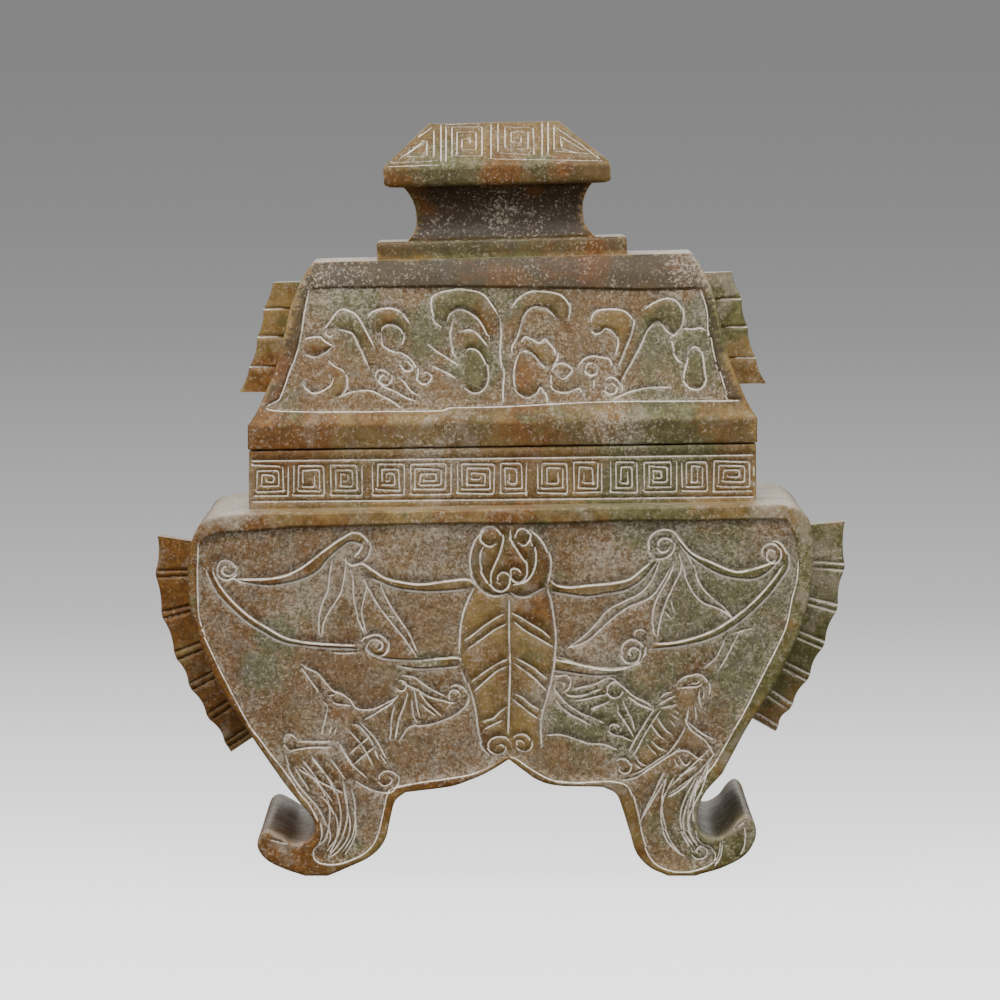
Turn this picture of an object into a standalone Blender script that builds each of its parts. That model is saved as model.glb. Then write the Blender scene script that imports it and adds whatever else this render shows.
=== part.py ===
"""Lidded urn carved from mottled jade: a flat, broad-shouldered vessel on two slab legs with
curled toes, and a roof-shaped lid with a hip-roofed knob. Each of the two is one stone.

+X is the right side of the carved front, -Y is the front, +Z is up, and the feet stand on Z = 0.
Lengths are metres. The free forms (outline of the body, strokes of the carving) are drawn on
grids whose unit is one millimetre at the real size, and every grid is scaled by the size of
what it is drawn on.
"""

import math

import bmesh
import bpy
import numpy as np
from mathutils import Vector
from mathutils.geometry import delaunay_2d_cdt

# Body: the slab with the two legs
BODY_WIDTH = 0.248
BODY_DEPTH = 0.128
SHOULDER_HEIGHT = 0.147
WORN_EDGE = 0.0012
SHOULDER_RISE = 0.0143      # the hand-cut shoulder, neck and lid climb to the right by this slope

# Hollow of the body
MOUTH_WALL = 0.0115
SIDE_WALL = 0.015
FACE_WALL = 0.014
SHOULDER_WALL = 0.014
FLOOR_WALL = 0.0145         # stone between the cusp of the arch and the floor of the hollow

# Neck
NECK_WIDTH = 0.203
NECK_DEPTH = 0.086
NECK_HEIGHT = 0.0227
NECK_OFFSET = 0.001
NECK_ROOT = 0.006           # how far the neck's solid reaches down into the body

# Carving
PANEL_RECESS = 0.0014
PANEL_STEP = 0.0010
BORDER_TOP = 0.0062
BORDER_LEFT = 0.0038
BORDER_RIGHT = 0.0063
BORDER_UNDER = 0.0038
LID_PANEL_RECESS = 0.0011
LID_BORDER_SIDE = 0.0070
LID_BORDER_TOP = 0.0105
GROOVE_WIDTH = 0.0016
GROOVE_DEPTH = 0.0010
LID_GROOVE_DEPTH = 0.0008
FRET_PITCH = 0.0032
FRET_GROOVE_WIDTH = 0.0013
FRET_GROOVE_DEPTH = 0.0008
FRET_MARGIN = 0.0014        # plain stone on each side of a fret
FRET_BAND_LOW = 0.0025      # the band's lower line above the shoulder
FRET_BAND_HIGH = 0.0039     # the band's upper line below the neck's rim

# Flanges down the middle of the sides
FLANGE_THICKNESS = 0.012
FLANGE_REACH = 0.0165
FLANGE_SCALLOP = 0.0012
FLANGE_ROOT = 0.005
# each flange starts this far below its shoulder's corner, and ends this far above its toe
FLANGE_TOP_DROP = {"left": 0.016, "right": 0.0125}
FLANGE_TOE_GAP = {"left": 0.0225, "right": 0.018}
LID_FLANGE_THICKNESS = 0.010
LID_FLANGE_REACH = 0.0115
LID_FLANGE_SCALLOP = 0.0012
LID_FLANGE_ROOT = 0.006
LID_FLANGE_TOP_DROP = 0.0086
LID_FLANGE_RIM_GAP = 0.0117

# Lid
SEAM_GAP = 0.0003
LID_OVERHANG = 0.0004       # how far the lid's rim stands out past the neck, all round
LID_RIM_HEIGHT = 0.0097
LID_HEIGHT = 0.075
LID_TOP_INSET_X = 0.0258
LID_TOP_INSET_Y = 0.016
LID_WALL = 0.012
TONGUE_DEPTH = 0.006
TONGUE_WALL = 0.005
TONGUE_CLEARANCE = 0.0008
LID_EXTRA_RISE = 0.0100     # the lid's top climbs to the right by this much more than its rim

# Knob
KNOB_BASE_WIDTH = 0.101
KNOB_BASE_DEPTH = 0.036
KNOB_BASE_HEIGHT = 0.0072
KNOB_NECK_WIDTH = 0.0675
KNOB_NECK_DEPTH = 0.020
EAVE_WIDTH = 0.0915
EAVE_DEPTH = 0.040
EAVE_BOTTOM = 0.0285        # height of the eave's underside above the lid's top
EAVE_HEIGHT = 0.0088
RIDGE_LENGTH = 0.0515
RIDGE_DEPTH = 0.003
RIDGE_HEIGHT = 0.0545       # height of the ridge above the lid's top
KNOB_LEAN = -0.0036         # how far the ridge stands off the lid's middle, to the left
KNOB_ROOT = 0.002
KNOB_WAIST = 0.42           # height of the stem's waist, as a share of the stem
KNOB_FLARE = 0.36           # how far the stem's ends flare, as a share of the step beyond them

# Sizes that follow from those above
LID_RIM_WIDTH = NECK_WIDTH + 2 * LID_OVERHANG
LID_RIM_DEPTH = NECK_DEPTH + 2 * LID_OVERHANG
SEAM_HEIGHT = SHOULDER_HEIGHT + NECK_HEIGHT
LID_BASE = SEAM_HEIGHT + SEAM_GAP

# Drawing grids: how many units each drawn thing measures
BODY_GRID = (248.0, 147.0)
LID_GRID = (204.0, 75.0)

# Counts of the neck's key frets
FRONT_FRETS = 13
SIDE_FRETS = 5

# How finely the strokes are drawn: points along the body's width and along the lid's
BODY_STEPS = 25
LID_STEPS = 28

# Lengths of the segments of the flanges, from the top down, as shares of each other
FLANGE_SEGMENTS = {"left": (1.06, 1.0, 1.15, 0.9, 1.0, 1.0, 1.0),
                   "right": (1.24, 1.07, 1.0, 0.97, 0.9, 0.85, 0.85)}
LID_FLANGE_SEGMENTS = (1.0, 1.0, 1.1, 1.0)

HAND = {"left": -1.0, "right": 1.0}


def smooth(points, step):
    """Points about `step` apart on the Catmull-Rom curve through `points`."""
    given = np.asarray(points, dtype=float)
    before = 2 * given[0] - given[1]
    after = 2 * given[-1] - given[-2]
    knots = np.vstack([before, given, after])
    rows = []
    for i in range(1, len(knots) - 2):
        p0, p1, p2, p3 = knots[i - 1:i + 3]
        count = max(1, round(float(np.hypot(*(p2 - p1))) / step))
        t = (np.arange(count) / count)[:, None]
        rows.append(0.5 * (2 * p1 + (p2 - p0) * t + (2 * p0 - 5 * p1 + 4 * p2 - p3) * t ** 2
                           + (3 * p1 - p0 - 3 * p2 + p3) * t ** 3))
    rows.append(given[-1:])
    return np.vstack(rows)


def scroll(centre, radius, start, turns, eye=0.25, step=55.0):
    """Spiral that starts at `radius` and angle `start` (degrees) and winds to `eye` times that.

    Positive turns wind anticlockwise.
    """
    count = max(4, round(abs(turns) * 360.0 / step))
    t = np.linspace(0.0, 1.0, count + 1)
    angle = math.radians(start) + 2 * math.pi * turns * t
    reach = radius * (1 + (eye - 1) * t)
    return np.column_stack([centre[0] + reach * np.cos(angle), centre[1] + reach * np.sin(angle)])


def distance_to(points, line):
    """Distance from each of `points` to the polyline `line`."""
    best = np.full(len(points), np.inf)
    for a, b in zip(line[:-1], line[1:]):
        along = b - a
        share = np.clip(((points - a) @ along) / max(float(along @ along), 1e-12), 0.0, 1.0)
        off = points - (a + share[:, None] * along)
        best = np.minimum(best, np.hypot(off[:, 0], off[:, 1]))
    return best


def side_rows(line, half_width):
    """The two rows of points beside `line`, at `half_width` from it, that meet at its ends."""
    ahead = np.gradient(line, axis=0)
    ahead /= np.maximum(np.hypot(ahead[:, 0], ahead[:, 1]), 1e-12)[:, None]
    across = np.column_stack([-ahead[:, 1], ahead[:, 0]]) * half_width
    return line[1:-1] + across[1:-1], line[1:-1] - across[1:-1]


def triangulate(boundary, strokes, half_width, guides):
    """Triangles inside `boundary`, with edges along every stroke, its sides and every guide."""
    points = []
    edges = []

    def add_row(row, closed=False):
        first = len(points)
        points.extend(Vector(p) for p in row)
        edges.extend((first + i, first + i + 1) for i in range(len(row) - 1))
        if closed:
            edges.append((first + len(row) - 1, first))

    add_row(boundary, closed=True)
    for guide in guides:
        add_row(guide)
    for line in strokes:
        add_row(line)
        for row in side_rows(line, half_width):
            add_row(np.vstack([line[:1], row, line[-1:]]))
    found = delaunay_2d_cdt(points, edges, [], 1, 1e-9)
    return np.array([tuple(p) for p in found[0]]), found[2]


def add_carved_face(mesh, boundary, strokes, groove, guides, base_depth, place):
    """Add a carved face: `base_depth(points)` sinks its ground, and each stroke is a V-groove.

    `groove` is the full width and the depth of the grooves, and `place(points, depth)` gives
    the positions in space.
    """
    width, depth = groove
    points, triangles = triangulate(boundary, strokes, width / 2, guides)
    sunk = np.zeros(len(points))
    for line in strokes:
        sunk = np.maximum(sunk, depth * np.clip(1 - distance_to(points, line) / (width / 2), 0, 1))
    rim = distance_to(points, np.vstack([boundary, boundary[:1]])) < 1e-7
    total = np.where(rim, 0.0, base_depth(points) + sunk)
    verts = [mesh.verts.new(p) for p in place(points, total)]
    for a, b, c in triangles:
        mesh.faces.new((verts[a], verts[b], verts[c]))


def add_strip(mesh, first, second):
    """Join two closed rows of points, of equal length, with quads."""
    a = [mesh.verts.new(p) for p in first]
    b = [mesh.verts.new(p) for p in second]
    for i in range(len(a)):
        j = (i + 1) % len(a)
        mesh.faces.new((a[i], a[j], b[j], b[i]))


def add_loft(mesh, rings):
    """A closed solid through `rings` of points, capped at both ends."""
    rows = [[mesh.verts.new(p) for p in ring] for ring in rings]
    for low, high in zip(rows[:-1], rows[1:]):
        for i in range(len(low)):
            j = (i + 1) % len(low)
            mesh.faces.new((low[i], low[j], high[j], high[i]))
    mesh.faces.new(rows[0][::-1])
    mesh.faces.new(rows[-1])


def finish_mesh(mesh, name, warp=None):
    """Weld `mesh`, move its points by `warp`, face it outwards and make it an object."""
    bmesh.ops.remove_doubles(mesh, verts=mesh.verts, dist=2e-6)
    if warp:
        for vert in mesh.verts:
            vert.co = warp(vert.co)
    bmesh.ops.triangulate(mesh, faces=mesh.faces)
    bmesh.ops.recalc_face_normals(mesh, faces=mesh.faces)
    data = bpy.data.meshes.new(name)
    mesh.to_mesh(data)
    mesh.free()
    thing = bpy.data.objects.new(name, data)
    bpy.context.collection.objects.link(thing)
    return thing


def combine(target, other, operation):
    """Join `other` to `target` or cut it away, and keep it as a hidden guide."""
    other.hide_render = True
    other.display_type = "WIRE"
    step = target.modifiers.new(other.name, "BOOLEAN")
    step.operation = operation
    step.solver = "EXACT"
    step.object = other


def rounded_section(half_x, half_y, z, middle=0.0, corner_points=4, power=5.0):
    """Ring of points on a rounded rectangle of the given half sizes, at height `z`."""
    turns = np.arange(4 * corner_points) / (4 * corner_points) * 2 * math.pi
    turns += math.pi / (4 * corner_points)
    c, s = np.cos(turns), np.sin(turns)
    size = (np.abs(c) ** power + np.abs(s) ** power) ** (-1 / power)
    return [(middle + half_x * a, half_y * b, z) for a, b in zip(size * c, size * s)]


def on_body(points):
    """Grid units of the body's drawing to metres."""
    return np.asarray(points, dtype=float) * (BODY_WIDTH / BODY_GRID[0], SHOULDER_HEIGHT / BODY_GRID[1])


def on_lid(points):
    """Grid units of the lid's drawing to metres."""
    return np.asarray(points, dtype=float) * (LID_RIM_WIDTH / LID_GRID[0], LID_HEIGHT / LID_GRID[1])


# Outline of the body's face, each side from the shoulder down to the cusp of the arch
FLANK = {
    "left": [(-99.5, 145.0), (-112.5, 143.5), (-118.8, 140.6), (-122.6, 132.5), (-124.0, 119.0),
             (-121.8, 102.0), (-112.0, 77.0), (-90.5, 43.5), (-80.0, 29.5)],
    "right": [(101.5, 148.3), (112.5, 148.2), (120.0, 145.3), (123.8, 138.0), (124.1, 121.0),
              (120.5, 102.0), (110.5, 79.0), (99.0, 60.5), (88.5, 41.0)],
}
TOE = {
    "left": [(-80.0, 29.5), (-75.0, 23.5), (-73.6, 18.5), (-76.5, 14.5), (-82.0, 13.0), (-87.5, 16.0),
             (-92.5, 18.0), (-96.0, 15.5), (-96.5, 11.0), (-92.5, 6.0), (-84.5, 2.2), (-77.5, 0.0)],
    "right": [(88.5, 41.0), (81.5, 33.0), (78.8, 25.5), (79.3, 18.5), (85.0, 14.8), (91.0, 17.5),
              (95.0, 22.5), (98.5, 24.3), (101.6, 20.5), (101.6, 14.5), (97.0, 7.8), (88.0, 3.0),
              (77.5, 0.0)],
}
LEG = {
    "left": [(-68.5, 0.0), (-60.0, 3.5), (-51.0, 8.0), (-45.5, 14.5), (-43.3, 23.5), (-41.5, 30.0),
             (-37.5, 33.3)],
    "right": [(67.0, 0.0), (60.0, 3.0), (54.2, 9.0), (51.3, 18.0), (48.5, 27.0), (46.0, 32.8),
              (41.0, 35.4)],
}
ARCH = {
    "left": [(-37.5, 33.3), (-20.5, 35.5), (-12.5, 38.0), (-5.5, 41.0), (3.5, 46.5)],
    "right": [(41.0, 35.4), (23.0, 36.0), (15.0, 38.2), (10.0, 41.5), (3.5, 46.5)],
}


def body_runs(step):
    """The outline as runs, anticlockwise from the arch's cusp, each with its border's width."""
    runs = []
    for side in ("right", "left"):
        parts = [(ARCH, BORDER_UNDER), (LEG, BORDER_UNDER), (TOE, BORDER_UNDER),
                 (FLANK, BORDER_RIGHT if side == "right" else BORDER_LEFT)]
        lines = [(smooth(on_body(part[side]), step)[::-1], border) for part, border in parts]
        if side == "left":
            lines = [(line[::-1], border) for line, border in lines[::-1]]
        runs.extend(lines)
    top = (np.vstack([runs[3][0][-1], runs[4][0][0]]), BORDER_TOP)
    return runs[:4] + [top] + runs[4:]


def joined(runs):
    """One closed row of points from runs that follow each other, and the border at each."""
    points = []
    borders = []
    for line, border in runs:
        for p in line:
            if not points or np.hypot(*(p - points[-1])) > 1e-7:
                points.append(p)
                borders.append(border)
    if np.hypot(*(points[0] - points[-1])) < 1e-7:
        points.pop()
        borders.pop()
    return np.array(points), np.array(borders)


def inset(loop, amount):
    """A closed anticlockwise row moved inwards by `amount`, one value or one for each point."""
    before = np.roll(loop, 1, axis=0)
    after = np.roll(loop, -1, axis=0)
    ahead = (loop - before) / np.hypot(*(loop - before).T)[:, None]
    onward = (after - loop) / np.hypot(*(after - loop).T)[:, None]
    ahead += onward
    ahead /= np.hypot(*ahead.T)[:, None]
    return loop + np.column_stack([-ahead[:, 1], ahead[:, 0]]) * np.reshape(amount, (-1, 1))


def panel_ground(runs):
    """Depth of the sunk panel: none within each run's border, then a steep step down."""
    def depth(points):
        past = np.full(len(points), np.inf)
        for line, border in runs:
            past = np.minimum(past, distance_to(points, line) - border)
        return PANEL_RECESS * np.clip(past / PANEL_STEP, 0.0, 1.0)
    return depth


def wing_strokes(step, plain=False):
    """The pair of spread wings across the upper body. The plain ones have no feathers."""
    arms = [
        # left wing: upper and lower edge of its arm, outer curve, lower band
        [(-106, 118.5), (-90.5, 119), (-78, 124), (-65.5, 133.5), (-58, 136.8), (-51.5, 131)],
        [(-104, 117.5), (-92, 116), (-78, 118.5), (-68, 126.5), (-62, 131.5)],
        [(-62, 126.5), (-54.5, 125), (-45, 119), (-31, 116.5), (-10, 117)],
        [(-51, 119), (-41, 114.8), (-28.5, 113.5), (-12, 114.3)],
        [(-116.5, 122), (-106, 106.5), (-90, 95), (-75, 91.7), (-57, 90.5)],
        [(-52, 90.5), (-47, 87), (-32, 86.5), (-17, 87.5)],
        [(-15.5, 84), (-28, 83), (-40.5, 84)],
        # right wing, the same
        [(20, 118.5), (27.5, 115.5), (44, 117), (56, 122.5), (61, 127.5)],
        [(20.5, 113.5), (34.5, 111.5), (49, 114), (58, 120.5), (64, 126)],
        [(69.5, 137.5), (76.5, 129), (93, 122), (101, 122.8), (109, 126)],
        [(71, 133), (81, 124), (94.5, 118.5), (104, 119.5), (110, 125.5)],
        [(107, 133.5), (112.5, 132), (114, 123.5), (100, 105.5), (82, 94.5), (60, 90.5)],
        [(22, 86.5), (37, 83.7), (50.5, 83.3), (58, 88)],
        [(20.5, 82.5), (33, 80.3), (46.5, 80.5)],
    ]
    feathers = [
        [(-66.5, 127), (-68.5, 114.5), (-72, 103), (-71.5, 95.5)],
        [(-61.5, 125), (-64, 111.5), (-70, 102)],
        [(-60, 123.5), (-58.5, 111), (-53.5, 96.5)],
        [(-55, 120), (-48.5, 108.5), (-33, 88.5)],
        [(-47.5, 117), (-42, 106), (-35.5, 96)],
        [(62, 123), (55, 113), (42.5, 106), (27, 91)],
        [(66.5, 121), (57, 110), (44.5, 103), (34, 94)],
        [(69, 125), (61.5, 109), (60.5, 99), (62.5, 95)],
        [(71.5, 124), (66, 109.5), (63.5, 100)],
        [(72, 124), (79, 110.5), (93, 102.5)],
        [(74.5, 127.5), (81, 114.5), (89, 107)],
    ]
    strokes = [smooth(on_body(line), step) for line in (arms if plain else arms + feathers)]
    scrolls = [
        ((-57.5, 130.3), 5.0, 200, -1.25), ((-108.5, 122.2), 3.8, -40, -1.0),
        ((-49, 92), 4.6, 200, -1.2), ((65.5, 131.3), 6.0, 60, 1.4),
        ((108.3, 128.8), 2.6, 180, -1.0), ((53.5, 89.3), 5.0, -20, 1.7),
    ]
    strokes += [on_body(scroll(*shape)) for shape in scrolls]
    return strokes


def trunk_strokes(step):
    """The round head and the banded trunk in the middle of the face."""
    middle = 3.5
    drawn = [
        [(-6.5, 138), (-12, 127), (-10, 118), (-2, 112), (middle, 113.2)],
        [(11.5, 138.5), (19, 129.5), (19.5, 120.5), (18.3, 116.2)],
        [(middle, 113.2), (10.5, 111.5), (18, 115.5)],
        [(0.8, 137.5), (-0.5, 128), (-4, 119.5), (0.5, 114.3)],
        [(-6.5, 131.5), (-8, 125), (-4.5, 116.5)],
        [(4.2, 138), (8, 128.5), (10.6, 121)],
        [(12, 134), (14, 126), (10, 118)],
        [(-10.5, 115.5), (-15.5, 103), (-16.5, 89)],
        [(-15, 82.5), (-10, 66.5), (-8, 53), (-4, 48.5)],
        [(18.5, 115.5), (22, 97), (20.5, 79), (16, 62), (16.5, 51)],
        [(middle, 111.5), (middle + 0.3, 84), (middle, 57.5)],
    ]
    strokes = [smooth(on_body(line), step) for line in drawn]
    for peak, reach, fall in ((105.0, 17.0, 11.0), (86.5, 15.0, 9.5), (68.0, 12.5, 8.0)):
        for level in (peak, peak - 3.3):
            for hand in (-1.0, 1.0):
                away = [(middle + hand * 1.4, level), (middle + hand * reach * 0.5, level - fall * 0.45),
                        (middle + hand * reach, level - fall)]
                strokes.append(smooth(on_body(away), step))
    for centre, start, turns in (((-3.3, 135.5), -60, 1.1), ((9.0, 135.7), 200, -1.0),
                                 ((1.3, 119.3), 20, -1.1), ((6.6, 121.0), -20, 1.1),
                                 ((-1.0, 52.3), 30, 1.0), ((9.2, 53.0), 150, -1.0)):
        strokes.append(on_body(scroll(centre, 3.4, start, turns)))
    return strokes


def beast_strokes(step):
    """The small winged creatures over the legs, with plumes that run down into the toes."""
    drawn = [
        # left: brow, small wing, plumes
        [(-79, 85), (-71, 78.5), (-64, 74), (-55, 67), (-45, 70), (-40.5, 72.5)],
        [(-79, 83), (-71, 72.5)],
        [(-39, 80), (-30, 76), (-21, 71.5)],
        [(-37, 75), (-28, 71), (-19, 69)],
        [(-13, 70), (-18, 64), (-28, 60.5), (-34, 61)],
        [(-37.5, 74), (-36.5, 66), (-32.5, 60.5)],
        [(-41, 72), (-43.5, 62), (-44, 54)],
        [(-71, 70), (-72, 58), (-69, 52)],
        [(-80, 53.8), (-66, 53.8)],
        [(-84, 50), (-80.5, 37), (-71, 26), (-67, 14.5)],
        [(-71, 33), (-65, 21), (-68, 10)],
        [(-59, 61), (-52, 57), (-46.5, 44)],
        [(-58, 38.5), (-48, 34.5), (-41.5, 35.5)],
        # right, the same
        [(21.5, 77), (31, 67), (42, 61)],
        [(29, 74.5), (41, 79), (48, 77), (61.5, 68)],
        [(29, 70.5), (42, 72)],
        [(47, 69), (50, 61), (53.5, 55.5)],
        [(61, 66.5), (53.5, 54.5), (50.5, 48.5)],
        [(64, 66), (57, 53), (53, 47.5)],
        [(70, 76), (78, 80.5), (83, 77), (82.5, 70)],
        [(70, 76), (80.5, 76)],
        [(62.5, 69), (71, 73.5)],
        [(74.5, 67), (74, 61.5), (82, 54), (85.5, 48.5)],
        [(74, 60), (65, 48), (51, 40.5)],
        [(83.5, 47), (76.5, 35), (75, 20), (79.5, 12.5)],
        [(78.5, 41), (72, 26), (76, 12)],
        [(69.5, 40), (63.5, 24), (71, 10)],
    ]
    strokes = [smooth(on_body(line), step) for line in drawn]
    for centre, radius, start, turns in (((-18, 72.7), 4.6, 60, -1.0), ((-39.3, 76.4), 1.8, 60, -0.9),
                                         ((-83.4, 53.3), 2.6, 20, 1.0), ((-45.5, 37.6), 3.2, -150, 1.0),
                                         ((24.5, 76.7), 3.4, 130, 1.0), ((45.6, 74.4), 2.9, 170, 0.9),
                                         ((46, 58), 2.4, 150, -0.9), ((50, 44.3), 2.9, 140, -0.9),
                                         ((79.3, 9.6), 2.8, 90, 1.0)):
        strokes.append(on_body(scroll(centre, radius, start, turns)))
    return strokes


def key_spiral(low, high, pitch, hand):
    """Square spiral of a key fret, from a corner of its cell to the middle."""
    x0, z0 = low
    x1, z1 = high
    corners = [(x0, z1), (x0, z0), (x1, z0), (x1, z1)]
    points = [corners[0], corners[1], corners[2], corners[3]]
    left, right, bottom, top = x0 + pitch, x1, z0, z1
    while right - left > pitch * 1.2 and top - bottom > pitch * 2.2:
        points.append((left, top))
        bottom += pitch
        points.append((left, bottom))
        right -= pitch
        points.append((right, bottom))
        top -= pitch
        points.append((right, top))
        left += pitch
    row = np.array(points)
    if hand < 0:
        row[:, 0] = x0 + x1 - row[:, 0]
    return row


def fret_band(half_length, low, high, cells):
    """Key frets side by side between two long lines, centred on zero."""
    cell = 2 * half_length / cells
    end = half_length - FRET_MARGIN
    strokes = [np.array([(-end, level), (end, level)]) for level in (low, high)]
    for i in range(cells):
        left = -half_length + i * cell + FRET_MARGIN
        right = left + cell - 2 * FRET_MARGIN
        strokes.append(key_spiral((left, low + FRET_PITCH), (right, high - FRET_PITCH),
                                  FRET_PITCH, 1 if i % 2 else -1))
    return strokes


def lean(x, z_above_seam):
    """Rise of the neck and the lid at `x`, and at this height above the seam."""
    share = min(max(z_above_seam / LID_HEIGHT, 0.0), 1.0)
    return (SHOULDER_RISE + LID_EXTRA_RISE * share) * x


def warp_top(point):
    """Lift a straight-built point of the neck or lid to where the hand-cut one stands."""
    lift = lean(point.x, point.z - SEAM_HEIGHT)
    return Vector((point.x + NECK_OFFSET, point.y, point.z + lift))


def body_block():
    """The slab body with its legs: carved front, plainer carved back, worn edges."""
    mesh = bmesh.new()
    step = BODY_WIDTH / BODY_STEPS
    runs = body_runs(step)
    outline, borders = joined(runs)
    face = inset(outline, WORN_EDGE)
    ground = panel_ground(runs)
    steps = [inset(outline, borders + extra) for extra in (0.0, PANEL_STEP)]
    steps = [np.vstack([row, row[:1]]) for row in steps]
    front_y = -BODY_DEPTH / 2

    def on_front(points, depth):
        return [(p[0], front_y + d, p[1]) for p, d in zip(points, depth)]

    def on_back(points, depth):
        return [(p[0], -front_y - d, p[1]) for p, d in zip(points, depth)]

    groove = (GROOVE_WIDTH, GROOVE_DEPTH)
    front = wing_strokes(step) + trunk_strokes(step) + beast_strokes(step)
    add_carved_face(mesh, face, front, groove, steps, ground, on_front)
    add_carved_face(mesh, face, wing_strokes(step, plain=True), groove, steps, ground, on_back)
    rows = [[(x, front_y, z) for x, z in face],
            [(x, front_y + WORN_EDGE, z) for x, z in outline],
            [(x, -front_y - WORN_EDGE, z) for x, z in outline],
            [(x, -front_y, z) for x, z in face]]
    for first, second in zip(rows[:-1], rows[1:]):
        add_strip(mesh, first, second)
    return finish_mesh(mesh, "urn_body")


def neck_block():
    """The neck with key frets on its four sides, rooted in the body."""
    mesh = bmesh.new()
    half_x, half_y = NECK_WIDTH / 2, NECK_DEPTH / 2
    low, high = SHOULDER_HEIGHT - NECK_ROOT, SEAM_HEIGHT
    fret_low = SHOULDER_HEIGHT + FRET_BAND_LOW
    fret_high = SEAM_HEIGHT - FRET_BAND_HIGH
    sides = [(half_x, FRONT_FRETS, lambda u, d, z: (u, -half_y + d, z)),
             (half_x, FRONT_FRETS, lambda u, d, z: (-u, half_y - d, z)),
             (half_y, SIDE_FRETS, lambda u, d, z: (half_x - d, u, z)),
             (half_y, SIDE_FRETS, lambda u, d, z: (-half_x + d, -u, z))]
    for half, cells, put in sides:
        edge = np.array([(-half, low), (half, low), (half, high), (-half, high)])
        strokes = fret_band(half - FRET_PITCH, fret_low, fret_high, cells)
        add_carved_face(mesh, edge, strokes, (FRET_GROOVE_WIDTH, FRET_GROOVE_DEPTH), [],
                        lambda points: np.zeros(len(points)),
                        lambda points, depth, put=put: [put(p[0], d, p[1])
                                                        for p, d in zip(points, depth)])
    for level in (low, high):
        corners = [(half_x, half_y), (-half_x, half_y), (-half_x, -half_y), (half_x, -half_y)]
        mesh.faces.new([mesh.verts.new((x, y, level)) for x, y in corners])
    return finish_mesh(mesh, "neck", warp_top)


def body_hollow():
    """The hollow: straight through the neck, wider under the shoulder, narrower at the floor."""
    mesh = bmesh.new()
    mouth = (NECK_WIDTH / 2 - MOUTH_WALL, NECK_DEPTH / 2 - MOUTH_WALL)
    wide = (BODY_WIDTH / 2 - SIDE_WALL, BODY_DEPTH / 2 - FACE_WALL)
    ceiling = SHOULDER_HEIGHT - SHOULDER_WALL
    cusp = on_body(ARCH["left"])[-1, 1]
    floor = cusp + FLOOR_WALL
    deep = ceiling - floor
    levels = [(floor, wide[0] * 0.70, wide[1] * 0.84),
              (floor + deep * 0.10, wide[0] * 0.79, wide[1] * 0.95),
              (floor + deep * 0.45, wide[0] * 0.94, wide[1]),
              (floor + deep * 0.80, wide[0] * 0.99, wide[1]),
              (ceiling, wide[0] * 0.93, wide[1] * 0.90),
              (SHOULDER_HEIGHT - SHOULDER_WALL * 0.35, mouth[0], mouth[1]),
              (SEAM_HEIGHT + MOUTH_WALL, mouth[0], mouth[1])]
    add_loft(mesh, [rounded_section(hx, hy, z, NECK_OFFSET) for z, hx, hy in levels])
    return finish_mesh(mesh, "body_hollow")


def flange(name, inner, outward, reach, scallop, thickness, root, segments, pairs):
    """A scalloped flange along `inner`, cut across by grooves between its segments.

    `inner` runs down the side, `outward` is its outward direction at each point, `segments`
    are the shares of its length, and each cut is one groove, or two where `pairs` is true.
    """
    lengths = np.concatenate([[0.0], np.cumsum(np.hypot(*np.diff(inner, axis=0).T))])
    total = lengths[-1]
    cuts = np.cumsum(segments)[:-1] / np.sum(segments) * total
    half_gap = GROOVE_WIDTH * 1.25 if pairs else 0.0
    grooves = [cut + offset for cut in cuts for offset in ((-half_gap, half_gap) if pairs else (0.0,))]
    ends = np.concatenate([[0.0], cuts, [total]])
    stations = {0.0: 0.0, total: 0.0}
    for at in grooves:
        stations.update({at - GROOVE_WIDTH / 2: 0.0, at: GROOVE_DEPTH, at + GROOVE_WIDTH / 2: 0.0})
    for start, end in zip(ends[:-1], ends[1:]):
        stations[(start + end) / 2] = 0.0
    mesh = bmesh.new()
    rings = []
    for at in sorted(stations):
        base = np.array([np.interp(at, lengths, inner[:, i]) for i in (0, 1)])
        out = np.array([np.interp(at, lengths, outward[:, i]) for i in (0, 1)])
        out /= np.hypot(*out)
        i = min(max(int(np.searchsorted(ends, at, side="right")) - 1, 0), len(ends) - 2)
        share = (at - ends[i]) / (ends[i + 1] - ends[i])
        bow = scallop * 4 * share * (1 - share)
        sunk = stations[at]
        tip = base + out * (reach - bow - sunk)
        near_tip = base + out * (reach - bow - sunk - WORN_EDGE)
        foot = base - out * root
        half = thickness / 2 - sunk
        rings.append([(foot[0], -half, foot[1]), (near_tip[0], -half, near_tip[1]),
                      (tip[0], -half + WORN_EDGE, tip[1]), (tip[0], half - WORN_EDGE, tip[1]),
                      (near_tip[0], half, near_tip[1]), (foot[0], half, foot[1])])
    add_loft(mesh, rings)
    return mesh


def body_flange(side):
    """One flange of the body, down its flank from below the shoulder to above the toe."""
    line = smooth(on_body(FLANK[side]), BODY_WIDTH / 80)
    ends = (line[0, 1] - FLANGE_TOP_DROP[side], line[-1, 1] + FLANGE_TOE_GAP[side])
    top, bottom = [(np.interp(-z, -line[:, 1], line[:, 0]), z) for z in ends]
    between = line[(line[:, 1] < ends[0] - WORN_EDGE) & (line[:, 1] > ends[1] + WORN_EDGE)]
    line = np.vstack([top, between, bottom])
    ahead = np.gradient(line, axis=0)
    outward = np.column_stack([-ahead[:, 1], ahead[:, 0]]) * -HAND[side]
    outward *= np.sign(outward[:, :1] * HAND[side])
    mesh = flange(side, line, outward, FLANGE_REACH, FLANGE_SCALLOP, FLANGE_THICKNESS,
                  FLANGE_ROOT, FLANGE_SEGMENTS[side], True)
    return finish_mesh(mesh, "flange_" + side)


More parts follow.
